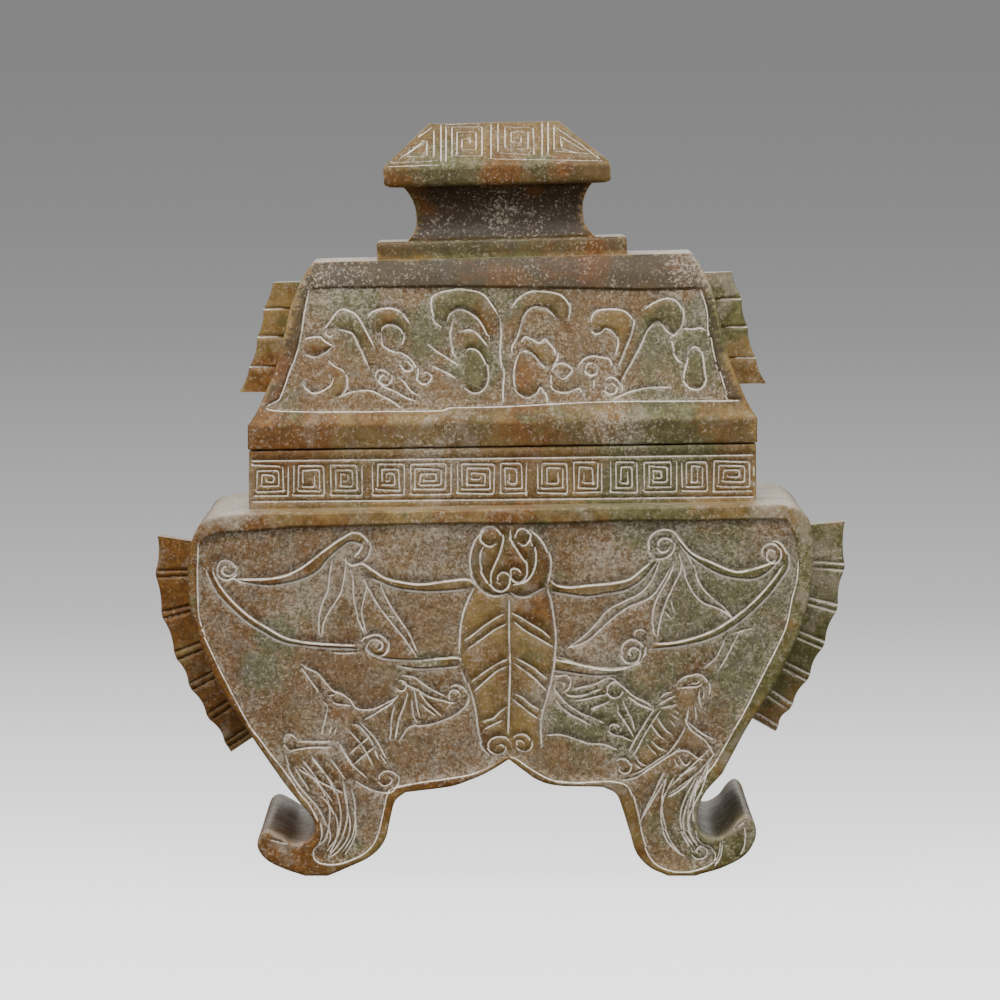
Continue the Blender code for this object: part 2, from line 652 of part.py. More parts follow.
# Side of the lid from its rim to its top: share of that height, share of the top's inset
LID_PROFILE = [(0.0, 0.0), (0.09, 0.14), (0.196, 0.26), (0.366, 0.43), (0.548, 0.55), (0.732, 0.655),
               (0.885, 0.81), (1.0, 1.0)]


def lid_levels():
    """Heights of the lid's levels above its lower edge, from that edge to its top."""
    slope = LID_HEIGHT - LID_RIM_HEIGHT
    return [0.0] + [LID_RIM_HEIGHT + slope * share for share, _ in LID_PROFILE]


def lid_half_sizes(z):
    """Half width and half depth of the lid at height `z` above its lower edge."""
    share = np.interp(z, lid_levels(), [0.0] + [s for _, s in LID_PROFILE])
    return LID_RIM_WIDTH / 2 - LID_TOP_INSET_X * share, LID_RIM_DEPTH / 2 - LID_TOP_INSET_Y * share


def cloud_strokes(step, plain=False):
    """Low hooks, leaves and small spirals on the lid's face. The plain ones are the hooks alone."""
    hooks = [
        # left half
        [(-28, 62), (-18, 64.5), (-8, 63.5), (-3, 58), (-1, 50)],
        [(-28, 62), (-29.5, 55), (-25, 50.5)],
        [(-25, 50.5), (-21, 57), (-14, 56), (-8, 49.5)],
        [(-70, 50.5), (-64, 56), (-58.5, 53), (-49.5, 40.5)],
        [(-68, 50.5), (-66, 47), (-60, 46)],
        # right half
        [(5, 52), (12, 62.5), (22, 63), (28, 56)],
        [(28, 56), (25, 51), (19, 57.5), (12.5, 55), (5, 40)],
        [(54, 53), (64, 60), (71, 52), (69, 46.5)],
        [(50, 26), (58, 44), (64, 50.5), (69, 46.5)],
    ]
    leaves = [
        # left half
        [(-17, 48.5), (-9.5, 46.5), (-5, 41)],
        [(-16, 40), (-9, 38.5), (-6, 31), (-9, 24.5), (-15, 26)],
        [(-53, 55.5), (-44, 57), (-37, 51.5)],
        [(-47, 47), (-48.5, 41.5), (-42, 39), (-33, 33)],
        [(-80, 44.5), (-73, 46.5), (-67, 43)],
        [(-78, 27.5), (-72.5, 25), (-66, 31), (-63.5, 35)],
        [(-64, 22), (-52, 25.5), (-38, 17.5)],
        # right half
        [(8, 44.5), (17, 45), (22, 38)],
        [(6, 34), (12, 39), (18, 30.5), (13, 22), (7, 26)],
        [(37, 51), (46, 56.5), (52, 50.5), (47, 33.5)],
        [(38, 47), (43.5, 48.5), (47.5, 43), (44, 36)],
        [(76, 48), (85, 45.5), (91, 20)],
        [(74, 36), (79, 40), (83, 33), (79, 24), (74, 29)],
        [(45, 17.5), (58, 23.5), (68, 24)],
    ]
    strokes = [smooth(on_lid(line), step) for line in (hooks if plain else hooks + leaves)]
    for centre, radius, start, turns in (((-30.5, 30.5), 3.2, 140, 1.1), ((-46.5, 29), 3.0, 160, -1.1),
                                         ((-38.5, 34), 1.7, 90, -0.9), ((24.5, 32.0), 3.4, 60, 1.1),
                                         ((36.5, 34), 1.9, 90, -0.9), ((44.5, 27), 3.4, 0, 1.2)):
        strokes.append(on_lid(scroll(centre, radius, start, turns)))
    return strokes


def lid_shell():
    """The lid without its knob: rim, flared sides, sunk panels front and back, flat top."""
    mesh = bmesh.new()
    base = LID_BASE
    heights = lid_levels()
    right = [(lid_half_sizes(z)[0], z) for z in heights]
    left = [(-x, z) for x, z in right[::-1]]
    edge = np.array(right + left)
    panel_low, panel_high = heights[2], LID_HEIGHT - LID_BORDER_TOP
    low_half = lid_half_sizes(panel_low)[0] - LID_BORDER_SIDE
    high_half = lid_half_sizes(panel_high)[0] - LID_BORDER_SIDE
    panel = np.array([(-low_half, panel_low), (low_half, panel_low), (high_half, panel_high),
                      (-high_half, panel_high)])

    def inside(points):
        share = (points[:, 1] - panel_low) / (panel_high - panel_low)
        half = low_half + (high_half - low_half) * share
        past = np.minimum(half - np.abs(points[:, 0]),
                          np.minimum(points[:, 1] - panel_low, panel_high - points[:, 1]))
        return LID_PANEL_RECESS * np.clip(past / PANEL_STEP, 0.0, 1.0)

    guides = [np.vstack([row, row[:1]]) for row in (panel, inset(panel, PANEL_STEP))]
    guides += [np.array([(-x, z), (x, z)]) for x, z in right[1:-1]]
    for sign in (-1, 1):
        strokes = cloud_strokes(LID_RIM_WIDTH / LID_STEPS, plain=sign > 0)

        def place(points, depth, sign=sign):
            deep = lid_half_sizes(points[:, 1])[1]
            return [(p[0], sign * (y - d), base + p[1]) for p, y, d in zip(points, deep, depth)]
        add_carved_face(mesh, edge, strokes, (GROOVE_WIDTH, LID_GROOVE_DEPTH), guides, inside, place)
    for sign in (-1, 1):
        for low, high in zip(heights[:-1], heights[1:]):
            corners = []
            for z, way in ((low, -1), (low, 1), (high, 1), (high, -1)):
                x, y = lid_half_sizes(z)
                corners.append(mesh.verts.new((sign * x, way * y, base + z)))
            mesh.faces.new(corners)
    for z in (0.0, LID_HEIGHT):
        x, y = lid_half_sizes(z)
        mesh.faces.new([mesh.verts.new((a * x, b * y, base + z))
                        for a, b in ((1, 1), (-1, 1), (-1, -1), (1, -1))])
    return finish_mesh(mesh, "urn_lid", warp_top)


def lid_tongue():
    """The block under the lid that fits in the mouth, before the hollow is cut from it."""
    mesh = bmesh.new()
    half_x = NECK_WIDTH / 2 - MOUTH_WALL - TONGUE_CLEARANCE
    half_y = NECK_DEPTH / 2 - MOUTH_WALL - TONGUE_CLEARANCE
    base = LID_BASE
    add_loft(mesh, [rounded_section(half_x - WORN_EDGE, half_y - WORN_EDGE, base - TONGUE_DEPTH),
                    rounded_section(half_x, half_y, base - TONGUE_DEPTH + WORN_EDGE),
                    rounded_section(half_x, half_y, base + LID_WALL * 0.4)])
    return finish_mesh(mesh, "lid_tongue", warp_top)


def lid_hollow():
    """The hollow under the lid, through its tongue."""
    mesh = bmesh.new()
    base = LID_BASE
    half_x = NECK_WIDTH / 2 - MOUTH_WALL - TONGUE_CLEARANCE - TONGUE_WALL
    half_y = NECK_DEPTH / 2 - MOUTH_WALL - TONGUE_CLEARANCE - TONGUE_WALL
    ceiling = LID_HEIGHT - LID_WALL
    top_x, top_y = lid_half_sizes(ceiling)
    add_loft(mesh, [rounded_section(half_x, half_y, base - TONGUE_DEPTH - LID_WALL),
                    rounded_section(half_x, half_y, base + LID_RIM_HEIGHT),
                    rounded_section(top_x - LID_WALL, top_y - LID_WALL, base + ceiling * 0.88),
                    rounded_section((top_x - LID_WALL) * 0.92, (top_y - LID_WALL) * 0.8, base + ceiling)])
    return finish_mesh(mesh, "lid_hollow", warp_top)


def lid_flange(side):
    """One flange of the lid, down the middle of its side."""
    levels = np.linspace(LID_HEIGHT - LID_FLANGE_TOP_DROP, LID_RIM_HEIGHT + LID_FLANGE_RIM_GAP, 10)
    line = np.array([(HAND[side] * lid_half_sizes(z)[0], z + LID_BASE) for z in levels])
    outward = np.tile([HAND[side], 0.0], (len(line), 1))
    mesh = flange(side, line, outward, LID_FLANGE_REACH, LID_FLANGE_SCALLOP, LID_FLANGE_THICKNESS,
                  LID_FLANGE_ROOT, LID_FLANGE_SEGMENTS, False)
    return finish_mesh(mesh, "lid_flange_" + side, warp_top)


def roof_strokes(eave, ridge, rise):
    """Nested triangles at the ends of the roof's long slope and two square frets between them.

    They are drawn as seen from the front: `eave` and `ridge` are the slope's half lengths along
    its lower and upper edge, and `rise` is its height.
    """
    strokes = []
    inner = ridge - FRET_PITCH / 2
    corners = np.array([(eave - 2 * FRET_PITCH, 0.0), (inner, 0.0), (inner, rise - FRET_PITCH)])
    centre = corners.mean(axis=0)
    for hand in (-1.0, 1.0):
        for shrink in (0.92, 0.56, 0.24):
            ring = centre + (corners - centre) * shrink
            ring = np.vstack([ring, ring[:1]]) + (0.0, FRET_PITCH / 2)
            strokes.append(ring * (hand, 1.0))
        low, high = sorted((hand * FRET_PITCH / 2, hand * (inner - FRET_PITCH * 0.9)))
        strokes.append(key_spiral((low, FRET_PITCH / 2), (high, rise - FRET_PITCH / 2),
                                  FRET_PITCH * 0.85, -hand))
    return strokes


def knob():
    """The knob: a stepped foot, a hollow-sided stem, square eaves and a carved hip roof."""
    mesh = bmesh.new()
    top = LID_BASE + LID_HEIGHT
    stem_low, stem_high = KNOB_BASE_HEIGHT, EAVE_BOTTOM
    waist = stem_low + (stem_high - stem_low) * KNOB_WAIST
    levels = [(-KNOB_ROOT, KNOB_BASE_WIDTH / 2, KNOB_BASE_DEPTH / 2),
              (stem_low - WORN_EDGE, KNOB_BASE_WIDTH / 2, KNOB_BASE_DEPTH / 2),
              (stem_low, KNOB_BASE_WIDTH / 2 - WORN_EDGE, KNOB_BASE_DEPTH / 2 - WORN_EDGE)]
    flare_x = (EAVE_WIDTH - KNOB_NECK_WIDTH) / 2
    flare_y = (EAVE_DEPTH - KNOB_NECK_DEPTH) / 2
    for i in range(9):
        t = i / 8
        z = stem_low + (stem_high - stem_low) * t
        reach = waist - stem_low if z < waist else stem_high - waist
        spread = KNOB_FLARE * abs((z - waist) / reach) ** 2.5
        levels.append((z, KNOB_NECK_WIDTH / 2 + flare_x * spread, KNOB_NECK_DEPTH / 2 + flare_y * spread))
    eave_low, eave_high = EAVE_BOTTOM, EAVE_BOTTOM + EAVE_HEIGHT
    levels += [(eave_low + WORN_EDGE * 0.2, EAVE_WIDTH / 2 - WORN_EDGE * 2, EAVE_DEPTH / 2 - WORN_EDGE),
               (eave_low + WORN_EDGE * 1.5, EAVE_WIDTH / 2, EAVE_DEPTH / 2),
               (eave_high, EAVE_WIDTH / 2, EAVE_DEPTH / 2)]

    def ring(z, hx, hy):
        return [(hx, hy, top + z), (-hx, hy, top + z), (-hx, -hy, top + z), (hx, -hy, top + z)]

    rings = [ring(*level) for level in levels]
    for first, second in zip(rings[:-1], rings[1:]):
        add_strip(mesh, first, second)
    mesh.faces.new([mesh.verts.new(p) for p in rings[0]])
    ridge = ring(RIDGE_HEIGHT, RIDGE_LENGTH / 2, RIDGE_DEPTH / 2)
    mesh.faces.new([mesh.verts.new(p) for p in ridge])
    eave = rings[-1]
    for a, b in ((0, 3), (1, 2)):
        mesh.faces.new([mesh.verts.new(p) for p in (eave[a], eave[b], ridge[b], ridge[a])])
    rise = RIDGE_HEIGHT - eave_high
    fall = (EAVE_DEPTH - RIDGE_DEPTH) / 2
    inward, down = np.array([rise, fall]) / math.hypot(rise, fall)
    edge = np.array([(-EAVE_WIDTH / 2, 0.0), (EAVE_WIDTH / 2, 0.0), (RIDGE_LENGTH / 2, rise),
                     (-RIDGE_LENGTH / 2, rise)])
    strokes = roof_strokes(EAVE_WIDTH / 2, RIDGE_LENGTH / 2, rise)
    for sign in (-1, 1):
        def place(points, depth, sign=sign):
            deep = EAVE_DEPTH / 2 - fall * points[:, 1] / rise
            return [(p[0], sign * (y - d * inward), top + eave_high + p[1] - d * down)
                    for p, y, d in zip(points, deep, depth)]
        add_carved_face(mesh, edge, strokes, (FRET_GROOVE_WIDTH, FRET_GROOVE_DEPTH), [],
                        lambda points: np.zeros(len(points)), place)

    def warp(point):
        share = (point.z - top) / RIDGE_HEIGHT
        straight = Vector((point.x + KNOB_LEAN * max(share, 0.0), point.y, point.z))
        return warp_top(straight)

    return finish_mesh(mesh, "knob", warp)


def jade(name, colour):
    """Polished stone in one colour."""
    material = bpy.data.materials.new(name)
    material.use_nodes = True
    shader = material.node_tree.nodes["Principled BSDF"]
    shader.inputs["Base Color"].default_value = colour
    shader.inputs["Roughness"].default_value = 0.45
    shader.inputs["Metallic"].default_value = 0.0
    return material


for old in list(bpy.data.objects):
    bpy.data.objects.remove(old, do_unlink=True)

body = body_block()
combine(body, neck_block(), "UNION")
for hand in HAND:
    combine(body, body_flange(hand), "UNION")
combine(body, body_hollow(), "DIFFERENCE")
body.data.materials.append(jade("mottled_jade", (0.16, 0.11, 0.065, 1.0)))

lid = lid_shell()
combine(lid, knob(), "UNION")
for hand in HAND:
    combine(lid, lid_flange(hand), "UNION")
combine(lid, lid_tongue(), "UNION")
combine(lid, lid_hollow(), "DIFFERENCE")
lid.data.materials.append(jade("mottled_jade_lid", (0.15, 0.105, 0.06, 1.0)))
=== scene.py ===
"""Lidded urn carved from one colour-mottled jade: a broad vessel on two legs, and its lid.

Every carved wall is a surface of two parameters: a place on the wall, and a depth that sums the
sunk ground, the raised bands and the cut lines. The drawing is read in the photograph's pixels.
Lengths are metres, +X is the right of the carved front, -Y the front, +Z up.
"""

import math

import bmesh
import bpy
import numpy as np
from mathutils.geometry import delaunay_2d_cdt
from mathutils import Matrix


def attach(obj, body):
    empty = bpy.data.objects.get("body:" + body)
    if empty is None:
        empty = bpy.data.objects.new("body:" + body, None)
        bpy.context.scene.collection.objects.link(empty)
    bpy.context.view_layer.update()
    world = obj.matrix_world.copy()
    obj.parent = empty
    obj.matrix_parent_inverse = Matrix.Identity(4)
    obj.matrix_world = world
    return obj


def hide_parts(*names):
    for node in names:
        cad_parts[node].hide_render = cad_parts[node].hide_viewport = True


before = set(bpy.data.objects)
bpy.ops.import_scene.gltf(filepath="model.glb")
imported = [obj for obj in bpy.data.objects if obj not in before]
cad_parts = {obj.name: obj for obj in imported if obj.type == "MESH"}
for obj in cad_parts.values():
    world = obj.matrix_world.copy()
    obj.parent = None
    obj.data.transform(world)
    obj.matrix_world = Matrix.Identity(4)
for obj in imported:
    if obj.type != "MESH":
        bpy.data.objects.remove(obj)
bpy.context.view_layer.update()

# The vessel. A slab of jade with a carved front and back, two legs with curled toes, a flange
# down each flank and a neck with key frets, all one stone, hollowed from its mouth. The lines are
# cut into sunk rough ground and hold pale polish; borders and raised bands are polished.

# where the photograph's pixels lie
PIXEL = 0.000395
MIDDLE_COLUMN = 500.5
EYE_ROW = 80.0
EYE_HEIGHT = 0.3162
EYE_DISTANCE = 2.355

HALF_DEPTH = 0.064
WORN = 0.0012
SHOULDER = 0.147
SHOULDER_RISE = 0.0143
NECK = (0.1015, 0.043, 0.1697)      # half width, half depth, height of its rim
NECK_ROOT = 0.006
NECK_OFFSET = 0.001
LID_RISE = 0.0100
LID_HEIGHT = 0.075
PANEL_SUNK = 0.0014
PANEL_EDGE = 0.0007         # width of the slope from a border down to the sunk ground
BAND_LIFT = 0.0008
GRAIN = (0.0031, 0.0012, 0.0005)    # rough ground: its coarse and fine size, and its depth

# a cut line: half its width, its depth, how full it is of chalk
BOLD = (0.00080, 0.00065, 1.0)
FINE = (0.00066, 0.00050, 0.9)
FRET = (0.00050, 0.00045, 1.0)
DRY = (0.00060, 0.00060, 0.1)
BACK = (0.00080, 0.00080, 0.8)
TAPER = (0.45, 6.0)         # it narrows to this share at its ends, over so many half widths
HALO = 0.0018               # dirt and painted shade gather this far beside it
LIT_WALL_SIDE = (0.35, -0.94)    # chalk keeps to the wall of it that lies this way, the one that faces up to the light: partly a painted highlight, while the other wall is left to painted shade
CHALK_AT = 0.33             # and is thickest at this share of its half width
PLAIN = (0.0, 0.0, 0.0, 0.0)    # marks of plain polished stone: line, bare ground, dirt and painted shade, dark polish
JOINT = (0.0, 0.0, 0.5, 0.0)    # and of where two parts meet: only dirt and painted shade gather there

# spacing of the points along drawn lines, frets and plain lines, and round raised shapes
DRAWN_STEP = 0.0006
FRET_STEP = 0.0010
PLAIN_STEP = 0.0012
SHAPE_STEP = 0.0015
OUTLINE_STEP = 0.0014       # and along the outline and the flanges
# rows of points along a line, at these shares of its half width: drawn ones, edges, plain ones
DRAWN_ROWS = (-0.33, 0.33, -1.0, 1.0)
EDGE_ROWS = (-0.33, 0.33, -1.0, 1.0, 2.0)
PLAIN_ROWS = (0.0, -1.0, 1.0)

# outline of the face, in millimetres, from the shoulder down to the cusp of the arch
FLANK = {
    "left": (-99.5, 145.0, -112.5, 143.5, -118.8, 140.6, -122.6, 132.5, -124.0, 119.0, -121.8, 102.0,
             -112.0, 77.0, -90.5, 43.5, -80.0, 29.5),
    "right": (101.5, 148.3, 112.5, 148.2, 120.0, 145.3, 123.8, 138.0, 124.1, 121.0, 120.5, 102.0,
              110.5, 79.0, 99.0, 60.5, 88.5, 41.0),
}
TOE = {
    "left": (-80.0, 29.5, -75.0, 23.5, -73.6, 18.5, -76.5, 14.5, -82.0, 13.0, -87.5, 16.0, -92.5, 18.0,
             -96.0, 15.5, -96.5, 11.0, -92.5, 6.0, -84.5, 2.2, -77.5, 0.0),
    "right": (88.5, 41.0, 81.5, 33.0, 78.8, 25.5, 79.3, 18.5, 85.0, 14.8, 91.0, 17.5, 95.0, 22.5,
              98.5, 24.3, 101.6, 20.5, 101.6, 14.5, 97.0, 7.8, 88.0, 3.0, 77.5, 0.0),
}
LEG = {
    "left": (-68.5, 0.0, -60.0, 3.5, -51.0, 8.0, -45.5, 14.5, -43.3, 23.5, -41.5, 30.0, -37.5, 33.3),
    "right": (67.0, 0.0, 60.0, 3.0, 54.2, 9.0, 51.3, 18.0, 48.5, 27.0, 46.0, 32.8, 41.0, 35.4),
}
ARCH = {
    "left": (-37.5, 33.3, -20.5, 35.5, -12.5, 38.0, -5.5, 41.0, 3.5, 46.5),
    "right": (41.0, 35.4, 23.0, 36.0, 15.0, 38.2, 10.0, 41.5, 3.5, 46.5),
}

# edge of the sunk ground of the face, in pixels, clockwise from the upper left corner
GROUND_EDGE = (
    200, 545, 205, 540, 213, 536, 225, 534, 260, 532, 290, 529, 330, 528, 400, 526, 460, 525, 540, 525,
    600, 523, 640, 522, 700, 522, 780, 521, 790, 527, 797, 540, 799, 560, 798, 580, 793, 600, 788, 625,
    780, 645, 765, 675, 755, 695, 745, 715, 735, 732, 728, 745, 716, 766, 704, 782, 696, 798, 694, 814,
    696, 832, 702, 846, 714, 852, 716, 864, 704, 872, 685, 876, 668, 873, 656, 866, 649, 855, 644, 840,
    641, 825, 638, 812, 634, 798, 628, 788, 615, 784, 600, 784, 575, 785, 555, 783, 543, 778, 530, 770,
    515, 760, 505, 761, 490, 769, 470, 777, 448, 781, 420, 785, 400, 789, 388, 794, 383, 812, 379, 830,
    374, 845, 366, 855, 352, 863, 335, 868, 318, 866, 312, 856, 318, 848, 321, 836, 317, 822, 308, 806,
    300, 797, 291, 783, 280, 768, 271, 757, 262, 745, 251, 730, 240, 711, 220, 672, 212, 655, 203, 635,
    197, 610, 197, 550)

TOP_EDGE = 34       # this many of those numbers run along the shoulder

# stains in the stone, in pixels: place and reach of each rust, green and ash-grey one
STAINS = (
    (545, 602, 22, 540, 560, 24, 524, 516, 16, 500, 522, 12, 340, 810, 44, 290, 850, 40, 440, 765, 40,
     222, 530, 40, 205, 590, 24, 170, 600, 80, 220, 700, 50, 290, 560, 30, 330, 640, 24, 330, 700, 40,
     395, 200, 20, 500, 168, 18, 560, 170, 14, 505, 282, 24, 535, 428, 26, 275, 430, 40, 316, 370, 24,
     525, 372, 18, 480, 740, 22, 405, 640, 20, 300, 440, 30, 560, 345, 16, 600, 250, 16),
    (480, 275, 60, 620, 720, 46, 720, 590, 70, 760, 660, 60, 830, 560, 50, 820, 640, 60, 700, 820, 40,
     815, 600, 60, 260, 665, 24, 700, 330, 50, 660, 440, 50, 440, 175, 40, 590, 720, 40, 680, 560, 50,
     735, 300, 40, 480, 360, 30, 740, 840, 30, 350, 300, 30, 425, 330, 30, 470, 240, 30, 600, 130, 20,
     640, 480, 60, 270, 640, 20),
    (430, 545, 36, 480, 660, 24, 330, 300, 36, 620, 428, 34, 230, 510, 28, 590, 820, 30, 540, 700, 26,
     728, 815, 40, 275, 815, 40, 830, 580, 40, 360, 565, 30, 610, 560, 30, 470, 790, 26, 700, 262, 40,
     330, 740, 30, 300, 600, 30, 500, 215, 20, 440, 470, 40, 780, 508, 26, 600, 660, 30, 740, 790, 26,
     290, 810, 26),
)

# short marks beside the drawing, in pixels, the first ones chalked and the last ones dark
MARKS = {
    "tick one": (672, 602, 673, 608, 675, 615),
    "tick two": (667, 613, 670, 617, 673, 620),
    "small hook": (636, 640, 636, 633, 643, 631, 648, 635),
    "lower band": (557, 658, 572, 663, 590, 668, 615, 670, 635, 667, 645, 662),
    "band foot": (550, 672, 562, 674, 575, 676),
    "brow": (388, 618, 392, 618, 397, 619),
    "nick one": (457, 535, 460, 537, 462, 539),
    "nick two": (432, 528, 435, 529, 438, 530),
    "tail echo": (330, 654, 344, 655, 358, 654),
    "leg vein one": (668, 778, 663, 802, 665, 825, 673, 845, 683, 858),
    "leg vein two": (703, 772, 697, 788, 687, 812, 685, 832, 697, 852),
    "leg vein three": (710, 768, 703, 792, 692, 815, 690, 832, 700, 850),
    "leg vein four": (667, 782, 657, 798, 643, 822),
    "knee one": (713, 750, 697, 765, 673, 788),
    "knee two": (717, 755, 700, 775, 670, 798),
    "knee three": (687, 722, 703, 735, 717, 743),
    "knee curl": (680, 758, 687, 768, 693, 762),
    "toe nail": (722, 842, 721, 855, 717, 868),
    "left fold one": (302, 762, 318, 785, 328, 810, 326, 838, 318, 850),
    "left fold two": (310, 757, 330, 785, 339, 812, 337, 838, 325, 856),
    "left fold three": (341, 780, 345, 800, 346, 822, 340, 843, 328, 860),
    "left fold four": (350, 790, 354, 812, 352, 838, 340, 858),
    "left wing rib": (295, 770, 320, 785, 345, 797),
    "left arm one": (338, 745, 350, 765, 368, 782),
    "left arm two": (360, 725, 376, 742, 388, 765),
    "left arm three": (349, 733, 362, 748, 374, 770),
    "left weave one": (348, 757, 362, 745, 371, 737),
    "left weave two": (352, 768, 366, 756, 378, 747),
    "left fan one": (398, 745, 408, 730, 418, 728),
    "left toe curl": (268, 843, 290, 848, 305, 846, 316, 838),
    "field line": (545, 738, 560, 737, 575, 741, 590, 746, 605, 747, 620, 753),
}
SCRATCHES = {
    "dark stroke": (652, 650, 665, 651, 680, 647),
    "notch": (466, 579, 475, 583, 482, 592, 488, 595),
}

# the carving of the face, in pixels: broad lines
WINGS = {
    "left arm above": (232, 580, 252, 580, 272, 579, 288, 575, 303, 567, 320, 554, 335, 543, 348, 535,
                       352, 533, 360, 534, 367, 540, 370, 548, 367, 558, 360, 565),
    "left arm below": (234, 581, 250, 585, 268, 587, 285, 585, 303, 580, 318, 572, 328, 560, 342, 548,
                       350, 543, 360, 545, 360, 550, 353, 559),
    "left band above": (343, 560, 352, 566, 362, 564, 372, 570, 386, 579, 403, 583, 422, 585, 445, 582,
                        468, 580, 476, 586),
    "left band below": (368, 578, 380, 583, 391, 588, 405, 591, 428, 593, 450, 592, 470, 590),
    "left tail": (206, 572, 211, 584, 219, 597, 232, 611, 247, 624, 263, 634, 282, 644, 305, 648,
                  330, 650, 358, 651),
    "left tail inner": (212, 570, 217, 582, 225, 594, 237, 607, 251, 619, 267, 629, 285, 639, 306, 643.5,
                        330, 645.5, 356, 646.5),
    "left low band": (367, 648, 372, 655, 382, 660, 400, 662, 420, 662, 440, 660, 458, 659, 461, 664),
    "left low band under": (461, 668, 440, 670, 418, 671, 398, 668),
    "left end scroll": (236, 571, 234, 577, 226, 581, 218, 577, 216, 570, 219, 563, 226, 561, 233, 565,
                        235, 571, 231, 576, 225, 576, 221, 571, 224, 567, 228, 568),
    "left low scroll": (360, 645, 363, 640, 370, 637, 378, 636, 385, 640, 388, 647, 385, 655, 378, 658,
                        370, 655, 366, 649, 369, 643, 375, 641, 381, 644, 381, 650, 376, 652),
    "right arm above": (551, 581, 558, 586, 570, 588, 590, 586, 612, 584, 630, 580, 642, 571, 652, 562),
    "right arm below": (552, 593, 570, 596, 588, 598, 608, 595, 625, 592, 640, 584, 650, 574, 658, 562),
    "right band above": (676, 532, 684, 543, 694, 554, 711, 562, 736, 572, 752, 570, 766, 566, 777, 561),
    "right band below": (680, 544, 690, 556, 705, 567, 722, 576, 740, 580, 757, 580, 770, 573, 779, 563),
    "right tail": (772, 542, 781, 543, 789, 554, 790, 568, 783, 580, 770, 597, 754, 613, 737, 627,
                   718, 638, 697, 645, 675, 649, 652, 651),
    "right tail inner": (784, 566, 777, 577, 764, 593, 749, 608, 732, 621, 714, 632, 695, 639, 674, 644,
                         655, 645),
    "right low band": (556, 661, 572, 664, 590, 668, 610, 671, 628, 669, 641, 663),
    "right low band under": (553, 672, 572, 675, 595, 678, 618, 677),
    "right main scroll": (655, 558, 650, 552, 649, 543, 653, 535, 660, 531, 668, 530, 676, 533, 682, 541,
                          688, 549),
    "right main eye": (655, 558, 660, 560, 668, 558, 674, 552, 675, 545, 671, 540, 664, 539, 659, 543,
                       659, 549, 663, 553, 669, 551, 670, 546),
    "right end scroll": (764, 560, 763, 552, 767, 546, 774, 544, 780, 548, 782, 556, 779, 563, 772, 563,
                         768, 557, 770, 551, 775, 551, 777, 556),
    "right low scroll": (641, 663, 645, 657, 646, 650, 640, 643, 632, 641, 626, 644, 622, 651, 624, 660,
                         630, 665, 638, 663, 641, 655, 638, 650, 632, 650, 630, 655, 634, 658),
}
FEATHERS = {
    "F1 left": (332, 559, 329, 575, 327, 591, 321, 606, 318, 620, 318, 632, 320, 640),
    "F1 right": (345, 556, 345, 568, 342, 587, 338, 598, 329, 612, 323, 624, 321, 638),
    "F2 left": (349, 568, 352, 580, 353, 600, 356, 614, 361, 627, 366, 637),
    "F2 right": (363, 578, 366, 588, 364, 598, 361, 612, 363, 625, 367, 635),
    "F3 left": (361, 577, 370, 592, 378, 606, 390, 622, 403, 638, 417, 658),
    "F3 right": (380, 583, 386, 598, 394, 612, 403, 625, 411, 638, 418, 655),
    "G1 left": (660, 562, 656, 574, 650, 585, 640, 595, 622, 604, 608, 612, 597, 625, 585, 637, 568, 650),
    "G1 right": (672, 568, 664, 582, 655, 595, 645, 602, 628, 609, 613, 620, 600, 632, 587, 643, 568, 650),
    "G2 left": (675, 561, 672, 573, 664, 588, 656, 604, 653, 618, 654, 630, 659, 640),
    "G2 right": (682, 562, 681, 573, 674, 588, 667, 603, 662, 618, 659, 632, 659, 640),
    "G3 left": (679, 553, 683, 566, 688, 580, 695, 594, 705, 604, 718, 609, 728, 614, 736, 622),
    "G3 right": (684, 549, 693, 563, 698, 577, 705, 590, 715, 600, 726, 609, 736, 622),
    "right tail tip": (733, 636, 745, 632, 757, 629),
    "right tail fall": (727, 638, 718, 658, 705, 670),
    "right tail fall two": (740, 635, 727, 660, 720, 672),
}
HEAD = {
    "head left": (484, 531, 475, 541, 470, 556, 470, 570, 475, 582, 483, 592, 495, 597, 508, 595),
    "head right": (530, 530, 540, 538, 547, 549, 551, 562, 550, 575, 547, 587),
    "head left curl": (497, 544, 490, 547, 483, 543, 480, 536, 483, 529, 492, 527, 499, 531, 503, 538,
                       502, 546, 499, 556, 495, 565, 491, 575, 491, 583, 495, 590, 502, 592, 508, 588,
                       510, 580, 509, 575, 503, 573, 498, 577, 498, 583, 502, 585),
    "head left lash": (484, 546, 480, 556, 481, 570, 486, 580, 491, 587),
    "head right curl": (511, 528, 510, 535, 512, 541, 517, 549, 522, 557, 526, 563, 527, 572, 526, 578,
                        521, 583, 515, 582, 511, 577, 511, 571, 515, 569, 520, 571, 523, 576),
    "head upper curl": (515, 538, 518, 531, 524, 529, 530, 533, 530, 540, 525, 546, 519, 543),
    "head band": (531, 541, 535, 550, 536, 561, 533, 573, 526, 582, 512, 586),
    "head foot": (510, 592, 517, 597, 527, 598, 537, 593, 546, 588),
}
TRUNK = {
    "trunk left": (474, 588, 468, 600, 463, 614, 460, 630, 459, 645, 459, 656),
    "trunk left low": (462, 672, 469, 690, 475, 712, 478, 735, 483, 750, 491, 759),
    "trunk right": (547, 588, 551, 602, 554, 620, 556, 638, 555, 658, 552, 680, 547, 700, 542, 718,
                    541, 735, 542, 751),
    "trunk middle": (509, 598, 509, 640, 510, 670, 509, 700, 508, 737),
}
